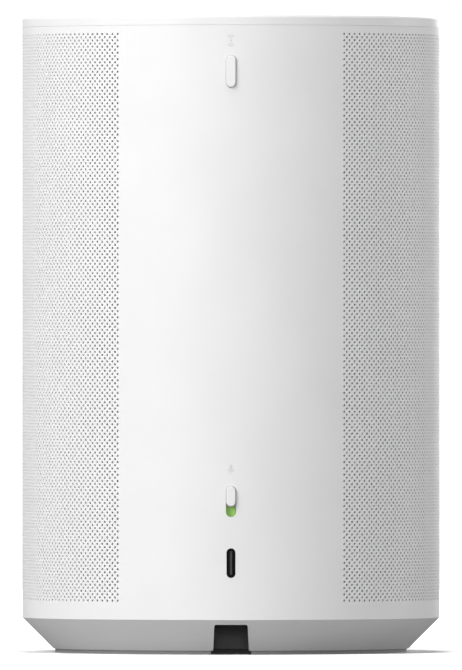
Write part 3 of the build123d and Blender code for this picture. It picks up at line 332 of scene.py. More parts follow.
# ---------------------------------------------------------------- node trees
class Wiring:
    """Adds and links nodes in one node tree."""

    def __init__(self, tree: bpy.types.NodeTree) -> None:
        """Take up a tree.

        Args:
            tree: The material's or the group's node tree.
        """
        self.tree = tree

    def link(self, source: object, target: bpy.types.NodeSocket) -> None:
        """Link a socket to another, or set the plain value where there is no socket.

        Args:
            source: An output socket, or a plain value.
            target: The input socket.
        """
        if isinstance(source, bpy.types.NodeSocket):
            self.tree.links.new(source, target)
        elif isinstance(source, tuple) and target.type == "RGBA":
            target.default_value = (*source[:3], 1.0)
        else:
            target.default_value = source

    def node(self, kind: str, **values: object) -> bpy.types.Node:
        """Add a node.

        Args:
            kind: The node's type.
            **values: Inputs by name, and the node's own fields in lower case.

        Returns:
            The node.
        """
        made = self.tree.nodes.new(kind)
        for name, value in values.items():
            if name[0].islower():
                setattr(made, name, value)
            else:
                self.link(value, made.inputs[name])
        return made

    def maths(self, operation: str, *values: object) -> bpy.types.NodeSocket:
        """Add a Math node.

        Args:
            operation: What it does.
            *values: Its inputs in order.

        Returns:
            Its output.
        """
        made = self.node("ShaderNodeMath", operation=operation)
        for socket, value in zip(made.inputs, values):
            self.link(value, socket)
        return made.outputs[0]

    def wave(self, distance: object, pitch: object) -> bpy.types.NodeSocket:
        """Turn a distance into a wave.

        Args:
            distance: The distance.
            pitch: Length of half a wave.

        Returns:
            The wave, from -1 to 1.
        """
        turns = self.maths("DIVIDE", distance, pitch)
        return self.maths("SINE", self.maths("MULTIPLY", turns, math.pi))

    def swing(self, noise: object, spread: object, mean: object) -> bpy.types.NodeSocket:
        """Let a value swing about its mean.

        Args:
            noise: What it swings with, from 0 to 1.
            spread: How far it swings in all.
            mean: Its mean.

        Returns:
            The value.
        """
        return self.maths("MULTIPLY_ADD", self.maths("SUBTRACT", noise, 0.5), spread, mean)

    def vector(self, operation: str, *values: object) -> bpy.types.Node:
        """Add a Vector Math node.

        Args:
            operation: What it does.
            *values: Its inputs in order.

        Returns:
            The node.
        """
        made = self.node("ShaderNodeVectorMath", operation=operation)
        for socket, value in zip(made.inputs, values):
            self.link(value, socket)
        return made

    def spread(self, value: object, low: float, high: float) -> bpy.types.NodeSocket:
        """Map a range of values to 0 to 1, held at both ends.

        Args:
            value: The value that comes in.
            low: What becomes 0.
            high: What becomes 1.

        Returns:
            The mapped value.
        """
        made = self.node("ShaderNodeMapRange")
        self.link(value, made.inputs["Value"])
        made.inputs["From Min"].default_value = low
        made.inputs["From Max"].default_value = high
        return made.outputs["Result"]

    def mix(self, share: object, first: object, second: object) -> bpy.types.NodeSocket:
        """Mix two colours.

        Args:
            share: The second colour's share.
            first: The first colour.
            second: The second colour.

        Returns:
            The mixed colour.
        """
        made = self.node("ShaderNodeMix", data_type="RGBA")
        self.link(share, made.inputs[0])
        self.link(first, made.inputs[6])
        self.link(second, made.inputs[7])
        return made.outputs[2]

    def blend(self, share: object, first: object, second: object) -> bpy.types.NodeSocket:
        """Mix two plain values.

        Args:
            share: The second value's share.
            first: The first value.
            second: The second value.

        Returns:
            The mixed value.
        """
        made = self.node("ShaderNodeMix", data_type="FLOAT")
        self.link(share, made.inputs[0])
        self.link(first, made.inputs[2])
        self.link(second, made.inputs[3])
        return made.outputs[0]


# ---------------------------------------------------------------- shared surface effects
class Effect(Enum):
    """The surface effects that several finishes share, each one a node group."""

    MOTTLE = "uneven colour"
    GRAIN = "moulded grain"
    WEAVE = "plain weave"
    BRUSHING = "brushed streaks"
    TRACKS = "board tracks"
    TURNS = "wound turns"


Sockets = Mapping[str, bpy.types.NodeSocket]

SOCKET_TYPES = {float: "NodeSocketFloat", tuple: "NodeSocketVector", type(None): "NodeSocketColor"}

# Each effect's inputs besides the place, with their usual values; a colour has none.
INPUTS: dict[Effect, dict[str, float | Point | None]] = {
    Effect.MOTTLE: {"Size": 0.01, "Colour": None, "Second colour": None},
    Effect.GRAIN: {"Size": 0.0005, "Roughness": 0.5, "Spread": 0.1},
    Effect.WEAVE: {"Pitch": 0.0005, "Thread": None, "Gap": None},
    Effect.BRUSHING: {"Streaks": (1.0, 1.0, 1.0), "Roughness": 0.35, "Spread": 0.2},
    Effect.TRACKS: {"Pitch": 0.002, "Board": None, "Track": None},
    Effect.TURNS: {"Across": (0.0, 0.0, 1.0), "Pitch": 0.001, "Ridge": None, "Groove": None},
}


class EffectBench:
    """Builds each effect's node group the first time that a finish asks for it."""

    def __init__(self) -> None:
        """Start with no groups built."""
        self.built: dict[Effect, bpy.types.NodeTree] = {}

    def group(self, effect: Effect) -> bpy.types.NodeTree:
        """Give an effect's node group.

        Args:
            effect: The effect that is wanted.

        Returns:
            Its node group.
        """
        if effect not in self.built:
            makers = {
                Effect.MOTTLE: self.mottle,
                Effect.GRAIN: self.grain,
                Effect.WEAVE: self.weave,
                Effect.BRUSHING: self.brushing,
                Effect.TRACKS: self.tracks,
                Effect.TURNS: self.turns,
            }
            self.built[effect] = self.build(effect, makers[effect])
        return self.built[effect]

    @staticmethod
    def build(effect: Effect, maker: Callable[[Wiring, Sockets], Sockets]) -> bpy.types.NodeTree:
        """Build an effect's node group, with its named sockets.

        Args:
            effect: The effect.
            maker: Wires the group's inside, from its inputs to what it gives.

        Returns:
            Its node group.
        """
        tree = bpy.data.node_groups.new(effect.value, "ShaderNodeTree")
        for label, usual in {"Place": (0.0, 0.0, 0.0), **INPUTS[effect]}.items():
            kind = SOCKET_TYPES[type(usual)]
            socket = tree.interface.new_socket(label, in_out="INPUT", socket_type=kind)
            if usual is not None:
                socket.default_value = usual
        w = Wiring(tree)
        given = w.node("NodeGroupInput").outputs
        made = maker(w, given)
        for label in made:
            kind = "NodeSocketColor" if label == "Colour" else "NodeSocketFloat"
            tree.interface.new_socket(label, in_out="OUTPUT", socket_type=kind)
        end = w.node("NodeGroupOutput")
        for label, socket in made.items():
            w.link(socket, end.inputs[label])
        return tree

    @staticmethod
    def mottle(w: Wiring, given: Sockets) -> Sockets:
        """Wire colour that wanders between two shades.

        Args:
            w: The group's wiring.
            given: Its inputs.

        Returns:
            Its outputs.
        """
        scale = w.maths("DIVIDE", 1.0, given["Size"])
        noise = w.node("ShaderNodeTexNoise", Vector=given["Place"], Scale=scale, Detail=4.0)
        mask = w.spread(noise.outputs["Fac"], low=0.3, high=0.7)
        return {"Colour": w.mix(mask, given["Colour"], given["Second colour"])}

    @staticmethod
    def grain(w: Wiring, given: Sockets) -> Sockets:
        """Wire the fine pebbled grain that a mould leaves.

        Args:
            w: The group's wiring.
            given: Its inputs.

        Returns:
            Its outputs.
        """
        scale = w.maths("DIVIDE", 1.0, given["Size"])
        noise = w.node("ShaderNodeTexNoise", Vector=given["Place"], Scale=scale, Detail=2.0)
        cells = w.node("ShaderNodeTexVoronoi", Vector=given["Place"], Scale=scale)
        height = w.maths("MULTIPLY", noise.outputs["Fac"], cells.outputs["Distance"])
        rough = w.swing(noise.outputs["Fac"], given["Spread"], given["Roughness"])
        return {"Height": height, "Roughness": rough}

    @staticmethod
    def weave(w: Wiring, given: Sockets) -> Sockets:
        """Wire threads that pass over and under each other.

        Args:
            w: The group's wiring.
            given: Its inputs.

        Returns:
            Its outputs.
        """
        parts = w.node("ShaderNodeSeparateXYZ", Vector=given["Place"])
        waves = []
        for axis in ("X", "Y"):
            waves.append(w.wave(parts.outputs[axis], given["Pitch"]))
        crossing = w.maths("MULTIPLY", waves[0], waves[1])
        over = w.spread(crossing, low=-0.4, high=0.4)
        warp, weft = (w.maths("ABSOLUTE", wave) for wave in waves)
        height = w.blend(over, warp, weft)
        covered = w.spread(height, low=0.15, high=0.6)
        return {"Colour": w.mix(covered, given["Gap"], given["Thread"]), "Height": height}

    @staticmethod
    def brushing(w: Wiring, given: Sockets) -> Sockets:
        """Wire fine streaks along one way.

        Args:
            w: The group's wiring.
            given: Its inputs.

        Returns:
            Its outputs.
        """
        drawn = w.vector("MULTIPLY", given["Place"], given["Streaks"])
        noise = w.node("ShaderNodeTexNoise", Vector=drawn.outputs["Vector"], Scale=1.0, Detail=3.0)
        rough = w.swing(noise.outputs["Fac"], given["Spread"], given["Roughness"])
        return {"Height": noise.outputs["Fac"], "Roughness": rough}

    @staticmethod
    def tracks(w: Wiring, given: Sockets) -> Sockets:
        """Wire copper tracks that show through a board's solder mask.

        Args:
            w: The group's wiring.
            given: Its inputs.

        Returns:
            Its outputs.
        """
        scale = w.maths("DIVIDE", 1.0, given["Pitch"])
        cells = w.node(
            "ShaderNodeTexVoronoi",
            distance="CHEBYCHEV",
            Vector=given["Place"],
            Scale=scale,
            Randomness=0.8,
        )
        track_step = 0.16
        line = w.maths("PINGPONG", cells.outputs["Distance"], track_step)
        mask = w.spread(line, low=0.07, high=0.09)
        return {"Colour": w.mix(mask, given["Board"], given["Track"]), "Height": mask}

    @staticmethod
    def turns(w: Wiring, given: Sockets) -> Sockets:
        """Wire ridges side by side across one way, as on a winding or a ribbed moulding.

        Args:
            w: The group's wiring.
            given: Its inputs.

        Returns:
            Its outputs.
        """
        along = w.vector("DOT_PRODUCT", given["Place"], given["Across"])
        wave = w.maths("ABSOLUTE", w.wave(along.outputs["Value"], given["Pitch"]))
        return {"Colour": w.mix(wave, given["Groove"], given["Ridge"]), "Height": wave}


EFFECTS = EffectBench()


# ---------------------------------------------------------------- finishes
@dataclass(frozen=True)
class Finish(ABC):
    """A material that several pieces may wear.

    Attributes:
        name: The material's name.
        colour: The main colour.
    """

    name: str
    colour: Colour

    def material(self) -> bpy.types.Material:
        """Build the material, or find it where it is built already.

        Returns:
            The material.
        """
        found = bpy.data.materials.get(self.name)
        if found is not None:
            return found
        made = bpy.data.materials.new(self.name)
        made.use_nodes = True
        made.node_tree.nodes.clear()
        wiring = Wiring(made.node_tree)
        shader = wiring.node("ShaderNodeBsdfPrincipled")
        output = wiring.node("ShaderNodeOutputMaterial")
        wiring.link(shader.outputs["BSDF"], output.inputs["Surface"])
        self.dress(wiring, shader)
        return made

    def put_on(self, piece: bpy.types.Object) -> None:
        """Give a piece this finish alone.

        Args:
            piece: The mesh object.
        """
        piece.data.materials.clear()
        piece.data.materials.append(self.material())

    @abstractmethod
    def dress(self, wiring: Wiring, shader: bpy.types.Node) -> None:
        """Wire the finish into a Principled shader.

        Args:
            wiring: The material's tree.
            shader: The Principled shader.
        """

    @staticmethod
    def place(wiring: Wiring) -> bpy.types.NodeSocket:
        """Where a point lies on the object, in metres."""
        return wiring.node("ShaderNodeTexCoord").outputs["Object"]

    def dimmed(self, share: float) -> Colour:
        """The main colour, darker by a share."""
        return tuple(channel * share for channel in self.colour)

    @staticmethod
    def lay(
        wiring: Wiring, shader: bpy.types.Node, effect: Effect, depth: float = 0.0, **values: object
    ) -> bpy.types.Node:
        """Place a shared effect in the material, and link what it gives to the shader.

        Args:
            wiring: The material's tree.
            shader: The Principled shader.
            effect: The effect.
            depth: What a height of 1 comes to, in metres, or 0 for no relief.
            **values: Its inputs, with low lines for spaces.

        Returns:
            The group node.
        """
        made = wiring.node("ShaderNodeGroup", node_tree=EFFECTS.group(effect))
        for name, value in values.items():
            wiring.link(value, made.inputs[name.replace("_", " ")])
        targets = {"Colour": "Base Color", "Roughness": "Roughness"}
        for output in made.outputs:
            if output.name in targets:
                wiring.link(output, shader.inputs[targets[output.name]])
            elif depth:
                bump = wiring.node("ShaderNodeBump", Height=output, Distance=depth)
                wiring.link(bump.outputs["Normal"], shader.inputs["Normal"])
        return made


@dataclass(frozen=True)
class Moulding(Finish):
    """Moulded plastic, with the mould's grain and a slight unevenness of colour.

    Attributes:
        roughness: Mean roughness.
        grain_size: Width of a grain of the texture.
        grain_depth: Height of the grain.
        shade: How much the second shade differs, as a share.
        patch: Size of a patch of the second shade.
        spread: How much the roughness swings.
        through: Share of light that goes into the plastic and spreads.
        reach: How far that light spreads.
    """

    roughness: float = 0.5
    grain_size: float = 0.00035
    grain_depth: float = 0.000004
    shade: float = 0.97
    patch: float = 0.02
    spread: float = 0.12
    through: float = 0.0
    reach: float = 0.0008

    def dress(self, wiring: Wiring, shader: bpy.types.Node) -> None:
        """Wire the finish into a Principled shader.

        Args:
            wiring: The material's tree.
            shader: The Principled shader.
        """
        place = self.place(wiring)
        colours = {"Colour": self.colour, "Second_colour": self.dimmed(self.shade)}
        self.lay(wiring, shader, Effect.MOTTLE, Place=place, Size=self.patch, **colours)
        grain = {"Size": self.grain_size, "Roughness": self.roughness, "Spread": self.spread}
        self.lay(wiring, shader, Effect.GRAIN, self.grain_depth, Place=place, **grain)
        if self.through:
            shader.inputs["Subsurface Weight"].default_value = self.through
            shader.inputs["Subsurface Scale"].default_value = self.reach


@dataclass(frozen=True)
class Cloth(Finish):
    """Woven cloth, whose threads run along the piece's own map or across the object.

    Attributes:
        gap: Colour between the threads.
        pitch: Distance from thread to thread.
        depth: Height of a thread.
        roughness: Mean roughness.
        sheen: Weight of the soft sheen.
        mapped: Whether the threads follow the piece's own map, in metres.
        upright: Whether the threads of an unmapped piece run in X and Z.
    """

    gap: Colour = (0.02, 0.02, 0.02)
    pitch: float = 0.0004
    depth: float = 0.00005
    roughness: float = 0.85
    sheen: float = 0.2
    mapped: bool = False
    upright: bool = False

    def dress(self, wiring: Wiring, shader: bpy.types.Node) -> None:
        """Wire the finish into a Principled shader.

        Args:
            wiring: The material's tree.
            shader: The Principled shader.
        """
        if self.mapped:
            place = wiring.node("ShaderNodeAttribute", attribute_name="threads").outputs["Vector"]
        else:
            place = self.place(wiring)
        if self.upright:
            parts = wiring.node("ShaderNodeSeparateXYZ", Vector=place)
            flat = wiring.node("ShaderNodeCombineXYZ", X=parts.outputs["X"], Y=parts.outputs["Z"])
            place = flat.outputs["Vector"]
        threads = {"Pitch": self.pitch, "Thread": self.colour, "Gap": self.gap}
        self.lay(wiring, shader, Effect.WEAVE, self.depth, Place=place, **threads)
        shader.inputs["Roughness"].default_value = self.roughness
        shader.inputs["Sheen Weight"].default_value = self.sheen


@dataclass(frozen=True)
class Metal(Finish):
    """Worked metal with fine streaks and stains.

    Attributes:
        roughness: Mean roughness.
        streaks: Streaks per metre along X, Y and Z.
        depth: Height of a streak.
        stain: How much darker a stain is, as a share.
        stain_size: Width of a stain.
    """

    roughness: float = 0.35
    streaks: Point = (2500.0, 2500.0, 250.0)
    depth: float = 0.000002
    stain: float = 0.82
    stain_size: float = 0.004

    def dress(self, wiring: Wiring, shader: bpy.types.Node) -> None:
        """Wire the finish into a Principled shader.

        Args:
            wiring: The material's tree.
            shader: The Principled shader.
        """
        place = self.place(wiring)
        colours = {"Colour": self.colour, "Second_colour": self.dimmed(self.stain)}
        self.lay(wiring, shader, Effect.MOTTLE, Place=place, Size=self.stain_size, **colours)
        streaks = {"Streaks": self.streaks, "Roughness": self.roughness}
        self.lay(wiring, shader, Effect.BRUSHING, self.depth, Place=place, **streaks)
        shader.inputs["Metallic"].default_value = 1.0


@dataclass(frozen=True)
class CircuitBoard(Finish):
    """A solder-masked board with tracks under the mask.

    Attributes:
        track: Colour over a track.
        pitch: Size of the cells that the tracks run round.
        depth: Height of a track.
        roughness: Mean roughness of the mask.
        spread: How much the roughness swings.
        grain_size: Width of a patch of rougher mask.
    """

    track: Colour = (0.05, 0.27, 0.13)
    pitch: float = 0.004
    depth: float = 0.00003
    roughness: float = 0.35
    spread: float = 0.15
    grain_size: float = 0.0006

    def dress(self, wiring: Wiring, shader: bpy.types.Node) -> None:
        """Wire the finish into a Principled shader.

        Args:
            wiring: The material's tree.
            shader: The Principled shader.
        """
        place = self.place(wiring)
        tracks = {"Pitch": self.pitch, "Board": self.colour, "Track": self.track}
        self.lay(wiring, shader, Effect.TRACKS, self.depth, Place=place, **tracks)
        grain = {"Size": self.grain_size, "Roughness": self.roughness, "Spread": self.spread}
        self.lay(wiring, shader, Effect.GRAIN, Place=place, **grain)


@dataclass(frozen=True)
class Winding(Finish):
    """Turns of wire or tape, or any finish of fine ridges.

    Attributes:
        groove: Colour between the turns.
        pitch: Distance from turn to turn.
        across: The way across the turns.
        depth: Height of a turn.
        roughness: Mean roughness.
        grain_size: Width of a patch of rougher wire.
        metallic: How metallic it is.
    """

    groove: Colour = (0.1, 0.05, 0.03)
    pitch: float = 0.0006
    across: Point = (0.0, 0.0, 1.0)
    depth: float = 0.0001
    roughness: float = 0.35
    grain_size: float = 0.0008
    metallic: float = 0.0

    def dress(self, wiring: Wiring, shader: bpy.types.Node) -> None:
        """Wire the finish into a Principled shader.

        Args:
            wiring: The material's tree.
            shader: The Principled shader.
        """
        place = self.place(wiring)
        turns = {"Across": self.across, "Pitch": self.pitch, "Ridge": self.colour, "Groove": self.groove}
        self.lay(wiring, shader, Effect.TURNS, self.depth, Place=place, **turns)
        grain = {"Size": self.grain_size, "Roughness": self.roughness}
        self.lay(wiring, shader, Effect.GRAIN, Place=place, **grain)
        shader.inputs["Metallic"].default_value = self.metallic


WHITE: Colour = (0.80, 0.80, 0.80)

FINISHES: dict[str, Finish] = {
    "shell_white": Moulding("satin white moulding", WHITE, roughness=0.5),
    "cap_white": Moulding("smooth white top", WHITE, roughness=0.42, grain_size=0.0006, grain_depth=0.000002),
    "base_white": Moulding("white base moulding", WHITE, roughness=0.5),
    "control_white": Moulding("white control moulding", WHITE, roughness=0.4, grain_depth=0.000002),
    "scrim_grey": Cloth("acoustic cloth", (0.42, 0.42, 0.43), gap=(0.12, 0.12, 0.12), mapped=True),
    "foot_rubber": Moulding("grey silicone foot", (0.25, 0.25, 0.25), roughness=0.7, grain_depth=0.00001),
    "light_pipe": Moulding("milky light guide", (0.92, 0.92, 0.9), roughness=0.3, through=0.6),
    "sensor_film": CircuitBoard("touch sensor film", (0.75, 0.5, 0.22), track=(0.55, 0.3, 0.1), pitch=0.006),
    "frame_black": Moulding("black frame moulding", (0.05, 0.05, 0.055), shade=0.7, roughness=0.45),
    "board_green": CircuitBoard("green circuit board", (0.03, 0.17, 0.09)),
    "board_black": CircuitBoard("black circuit board", (0.03, 0.035, 0.04), track=(0.06, 0.065, 0.07)),
    "component_black": Moulding("component moulding", (0.04, 0.04, 0.045), shade=0.8, grain_size=0.0002),
    "tinned_steel": Metal("tinned steel", (0.62, 0.62, 0.62), roughness=0.3),
    "screw_steel": Metal("plated screw steel", (0.45, 0.45, 0.46), roughness=0.35),
    "brass": Metal("machined brass", (0.78, 0.6, 0.28), roughness=0.28),
    "recess_dark": Moulding("dark grey moulding", (0.32, 0.32, 0.32), shade=0.85, roughness=0.55),
    "blackened_steel": Metal("blackened steel", (0.03, 0.03, 0.03), roughness=0.5),
    "switch_green": Moulding("green state film", (0.38, 0.72, 0.14), shade=0.85, patch=0.001, roughness=0.45),
    "switch_amber": Moulding("amber state film", (0.75, 0.22, 0.03), shade=0.85, patch=0.001, roughness=0.45),
    "silicone_clear": Moulding("milky silicone", (0.6, 0.6, 0.6), roughness=0.45, through=0.4),
    "seal_foam": Moulding(
        "closed-cell foam", (0.06, 0.06, 0.06), shade=0.6, patch=0.001, roughness=0.9, grain_depth=0.0001
    ),
    "copper": Winding(
        "copper winding", (0.8, 0.42, 0.25), across=(0.0, 1.0, 0.0), pitch=0.0004, metallic=1.0
    ),
    "cone_paper": Moulding(
        "pressed fibre cone", (0.06, 0.06, 0.065), shade=0.6, patch=0.003, roughness=0.85, grain_depth=0.00005
    ),
    "surround_rubber": Moulding("butyl surround", (0.03, 0.03, 0.03), shade=0.7, roughness=0.5),
    "spider_cloth": Cloth("impregnated cotton", (0.7, 0.5, 0.2), gap=(0.3, 0.18, 0.05), upright=True),
    "dome_silk": Cloth("coated silk", (0.09, 0.09, 0.1), gap=(0.03, 0.03, 0.03), upright=True, pitch=0.0003),
    "ferrite": Moulding("sintered ferrite", (0.08, 0.08, 0.085), shade=0.7, patch=0.004, roughness=0.6),
    "plated_iron": Metal("plated iron", (0.55, 0.55, 0.5), roughness=0.4),
    "basket_metal": Moulding(
        "painted basket", (0.06, 0.06, 0.06), shade=0.7, roughness=0.4, grain_depth=0.00001
    ),
    "sink_aluminium": Metal("extruded aluminium", (0.7, 0.7, 0.71), streaks=(3000.0, 3000.0, 60.0)),
    "wire_black": Moulding("wire insulation", (0.04, 0.04, 0.04), shade=0.7, roughness=0.4),
    "ribbon_amber": Winding(
        "flexible circuit", (0.7, 0.42, 0.12), groove=(0.5, 0.28, 0.07), across=(1.0, 0.0, 0.0), depth=0.00002
    ),
    "transformer_tape": Winding(
        "winding tape", (0.75, 0.65, 0.1), groove=(0.5, 0.42, 0.05), pitch=0.0028, depth=0.00003
    ),
    "capacitor_sleeve": Moulding("shrink sleeve", (0.07, 0.08, 0.12), shade=0.8, roughness=0.3),
}

PORT_BLACK = Moulding("black port moulding", (0.09, 0.09, 0.09), shade=0.8, roughness=0.4)
PRINT_GREY = Moulding("pale grey print", (0.66, 0.66, 0.66), roughness=0.6, patch=0.001)


def dress_packed_parts(nodes: dict[str, bpy.types.Object]) -> int:
    """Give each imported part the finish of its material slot, and the port's tongue its own.

    Args:
        nodes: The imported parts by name.

    Returns:
        How many parts were dressed.
    """
    for node in nodes.values():
        slot = node.data.materials[0].name
        FINISHES[slot].put_on(node)
    PORT_BLACK.put_on(nodes["usb_c_tongue"])
    return len(nodes)


def hand_over(piece: bpy.types.Object, slot: str, finish: Finish | None = None) -> None:
    """Dress a finished piece and fix it to the casing.

    Args:
        piece: The mesh object.
        slot: Its material slot, whose finish it wears.
        finish: What it wears instead.
    """
    (finish or FINISHES[slot]).put_on(piece)
    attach(piece, "casing")


# ---------------------------------------------------------------- perforated sleeve
@dataclass
class Sleeve:
    """The white outer sleeve: a smooth panel at the back and fine holes all round the rest.

    Attributes:
        plan: The body's outline.
        low: Height of the lower edge.
        high: Height of the upper edge.
        wall: Thickness where the holes are.
        hole_radius: Radius of a hole.
        hole_sides: Sides of the polygon that stands for a hole.
        first_column: Distance of the first holes from the middle of the back.
        columns: Columns of holes round the body.
        rows: Rows of holes.
        lowest_row: Height of the lowest row.
        highest_row: Height of the highest row.
        sectors: How many pieces the perforated part is made in.
        panel_share: Columns' width from the first holes to the rear panel.
        first_step: How far a jagged border goes out before it is flattened.
    """

    plan: Plan
    low: float
    high: float
    wall: float = 1.2 * MM
    hole_radius: float = 0.37 * MM
    hole_sides: int = 8
    first_column: float = 34.2 * MM
    columns: int = 367
    rows: int = 181
    lowest_row: float = 15.4 * MM
    highest_row: float = 177.2 * MM
    sectors: int = 8
    panel_share: float = 1.5
    first_step: float = 0.1 * MM

    @property
    def column_pitch(self) -> float:
        """Distance from one column of holes to the next."""
        return 2 * (self.plan.half_length - self.first_column) / (self.columns - 1)

    @property
    def row_pitch(self) -> float:
        """Distance from one row of holes to the next."""
        return (self.highest_row - self.lowest_row) / (self.rows - 1)

    @property
    def panel_edge(self) -> float:
        """Distance from the middle of the back to where the perforated pieces start."""
        return self.first_column - self.panel_share * self.column_pitch

    def cell(self) -> bpy.types.Object:
        """Model one hole with the diamond of sheet round it, flat in X and Z.

        Returns:
            The cell, its hole at the origin.
        """
        clear_selection()
        bpy.ops.mesh.primitive_circle_add(vertices=4, radius=self.column_pitch, rotation=UPRIGHT)
        made = bpy.context.active_object
        made.name = "hole_cell"
        place_in_mesh(made)
        reshape(made, lambda p: (p.x, p.y, p.z * self.row_pitch / self.column_pitch))
        with editing(made):
            bpy.ops.mesh.select_all(action="DESELECT")
            bpy.ops.mesh.primitive_circle_add(
                vertices=self.hole_sides, radius=self.hole_radius, rotation=UPRIGHT
            )
            bpy.ops.mesh.select_all(action="SELECT")
            bpy.ops.mesh.bridge_edge_loops()
            bpy.ops.mesh.quads_convert_to_tris()
        face_along(made, BACKWARDS)
        return made

    @staticmethod
    def repeat(piece: bpy.types.Object, count: int, step: Point) -> None:
        """Repeat a piece at even steps, merged where the copies meet.

        Args:
            piece: The mesh object.
            count: How many there are to be.
            step: The way from one to the next.
        """
        finish_modifier(
            piece,
            "ARRAY",
            count=count,
            use_relative_offset=False,
            use_constant_offset=True,
            constant_offset_displace=step,
            use_merge_vertices=True,
            merge_threshold=MERGE_DISTANCE,
        )

    def strip(self, cell: bpy.types.Object, column: int, name: str) -> bpy.types.Object:
        """Lay one column of holes.

        Args:
            cell: The cell to repeat.
            column: The column's number; even and odd columns take the rows in turn.
            name: The strip's name.

        Returns:
            The column, flat.
        """
        made = copy_of(cell, name)
        first_row = column % 2
        height = self.lowest_row + first_row * self.row_pitch
        along = self.first_column + column * self.column_pitch
        reshape(made, lambda p: (p.x + along, p.y, p.z + height))
        self.repeat(made, (self.rows - first_row + 1) // 2, (0.0, 0.0, 2 * self.row_pitch))
        return made

    def sector(self, cell: bpy.types.Object, first: int, last: int, name: str) -> bpy.types.Object:
        """Make the perforated piece that spans some of the columns.

        Args:
            cell: The cell to repeat.
            first: Its first column.
            last: Its last column.
            name: The piece's name.

        Returns:
            The piece, wrapped round the body and with its wall.
        """
        strips = []
        for start in (first, first + 1):
            made = self.strip(cell, start, f"{name}_{start}")
            self.repeat(made, (last - start) // 2 + 1, (2 * self.column_pitch, 0.0, 0.0))
            strips.append(made)
        made = join(strips, name)
        self.square_off(made, first, last)
        self.map_flat(made)
        reshape(made, self.plan.wrap)
        finish_modifier(made, "SOLIDIFY", thickness=self.wall, offset=-1.0, use_even_offset=True)
        soften(made)
        return made

    def square_off(self, sheet: bpy.types.Object, first: int, last: int) -> None:
        """Fill the sheet's jagged borders out to the plain margins.

        Args:
            sheet: The flat sheet of cells.
            first: Its first column.
            last: Its last column.
        """
        half = self.row_pitch / 2
        margins = (self.low, self.high)
        borders = [
            (lambda v: v.z > self.highest_row - half, (0, 0, 1), self.high),
            (lambda v: v.z < self.lowest_row + half, (0, 0, -1), self.low),
        ]
        start = self.first_column + first * self.column_pitch
        end = self.first_column + last * self.column_pitch
        if first == 0:
            borders.append((lambda v: v.x < start + self.column_pitch / 2, (-1, 0, 0), self.panel_edge))
        if last == self.columns - 1:
            far = 2 * self.plan.half_length - self.panel_edge
            borders.append((lambda v: v.x > end - self.column_pitch / 2, (1, 0, 0), far))
        with editing(sheet):
            bpy.ops.mesh.select_all(action="SELECT")
            bpy.ops.mesh.remove_doubles(threshold=MERGE_DISTANCE)
        for inside, way, level in borders:
            with editing(sheet) as mesh:
                choose(
                    mesh,
                    "EDGE",
                    lambda edge: edge.is_boundary
                    and all(inside(v.co) for v in edge.verts)
                    and not self.round_hole(edge)
                    and not any(all(abs(v.co.z - level) < half for v in edge.verts) for level in margins),
                )
                # A short step out, then flattened on to the border's own level.
                step = tuple(self.first_step * part for part in way)
                bpy.ops.mesh.extrude_region_move(TRANSFORM_OT_translate={"value": step})
                flat = tuple(0.0 if part else 1.0 for part in way)
                centre = tuple(level if part else 0.0 for part in way)
                bpy.ops.transform.resize(value=flat, center_override=centre)

    def round_hole(self, edge: bmesh.types.BMEdge) -> bool:
        """Whether an edge belongs to a hole's rim: those are much shorter than the rest."""
        return edge.calc_length() < self.hole_radius

    def map_flat(self, sheet: bpy.types.Object) -> None:
        """Keep the flat sheet's own places as its map, so that a bake has room for each hole.

        Args:
            sheet: The flat sheet.
        """
        layer = sheet.data.uv_layers.new(name=BAKE_MAP)
        left = min(v.co.x for v in sheet.data.vertices)
        for loop in sheet.data.loops:
            place = sheet.data.vertices[loop.vertex_index].co
            layer.data[loop.index].uv = ((place.x - left) / self.high, place.z / self.high)

    def build(self) -> list[bpy.types.Object]:
        """Make all the perforated pieces.

        Returns:
            The pieces, on the casing.
        """
        cell = self.cell()
        bounds = [round(self.columns * n / self.sectors) for n in range(self.sectors + 1)]
        pieces = [
            self.sector(cell, first, after - 1, f"sleeve_grille_{number}")
            for number, (first, after) in enumerate(zip(bounds, bounds[1:]), start=1)
        ]
        bpy.data.objects.remove(cell)
        for piece in pieces:
            hand_over(piece, "shell_white")
        return pieces


# ---------------------------------------------------------------- smooth rear panel
@dataclass
class RearPanel:
    """The smooth strip of the sleeve at the back, with the openings for the controls.

    Attributes:
        plan: The body's outline.
        low: Height of the lower edge.
        high: Height of the upper edge.
        half_width: Half its width, along the outline.
        openings: Height, length and width of each upright opening.
        wall: Its thickness.
        step: Distance between the mesh's columns.
    """

    plan: Plan
    low: float
    high: float
    half_width: float
    openings: tuple[Point, ...]
    wall: float = 2.0 * MM
    step: float = 1.0 * MM

    def build(self) -> bpy.types.Object:
        """Make the panel.

        Returns:
            The panel, on the casing.
        """
        width, centre = 2 * self.half_width, (0.0, 0.0, (self.high + self.low) / 2)
        columns = round(width / self.step)
        made = upright_sheet("sleeve_rear_panel", width, self.high - self.low, centre, columns)
        finish_modifier(made, "SOLIDIFY", thickness=self.wall, offset=-1.0)
        for height, length, width in self.openings:
            self.cut(made, height, length, width)
        reshape(made, self.plan.wrap)
        soften(made)
        hand_over(made, "shell_white")
        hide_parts("outer_sleeve")
        return made

    def cut(self, panel: bpy.types.Object, height: float, length: float, width: float) -> None:
        """Cut one upright opening with round ends.

        Args:
            panel: The flat panel.
            height: Height of the opening's middle.
            length: Its length, upright.
            width: Its width.
        """
        cutter = capsule_prism("cutter", length, width, 4 * self.wall)
        reshape(cutter, lambda p: (p.x, p.y, p.z + height))
        finish_modifier(panel, "BOOLEAN", object=cutter, operation="DIFFERENCE", solver="EXACT")
        bpy.data.objects.remove(cutter)


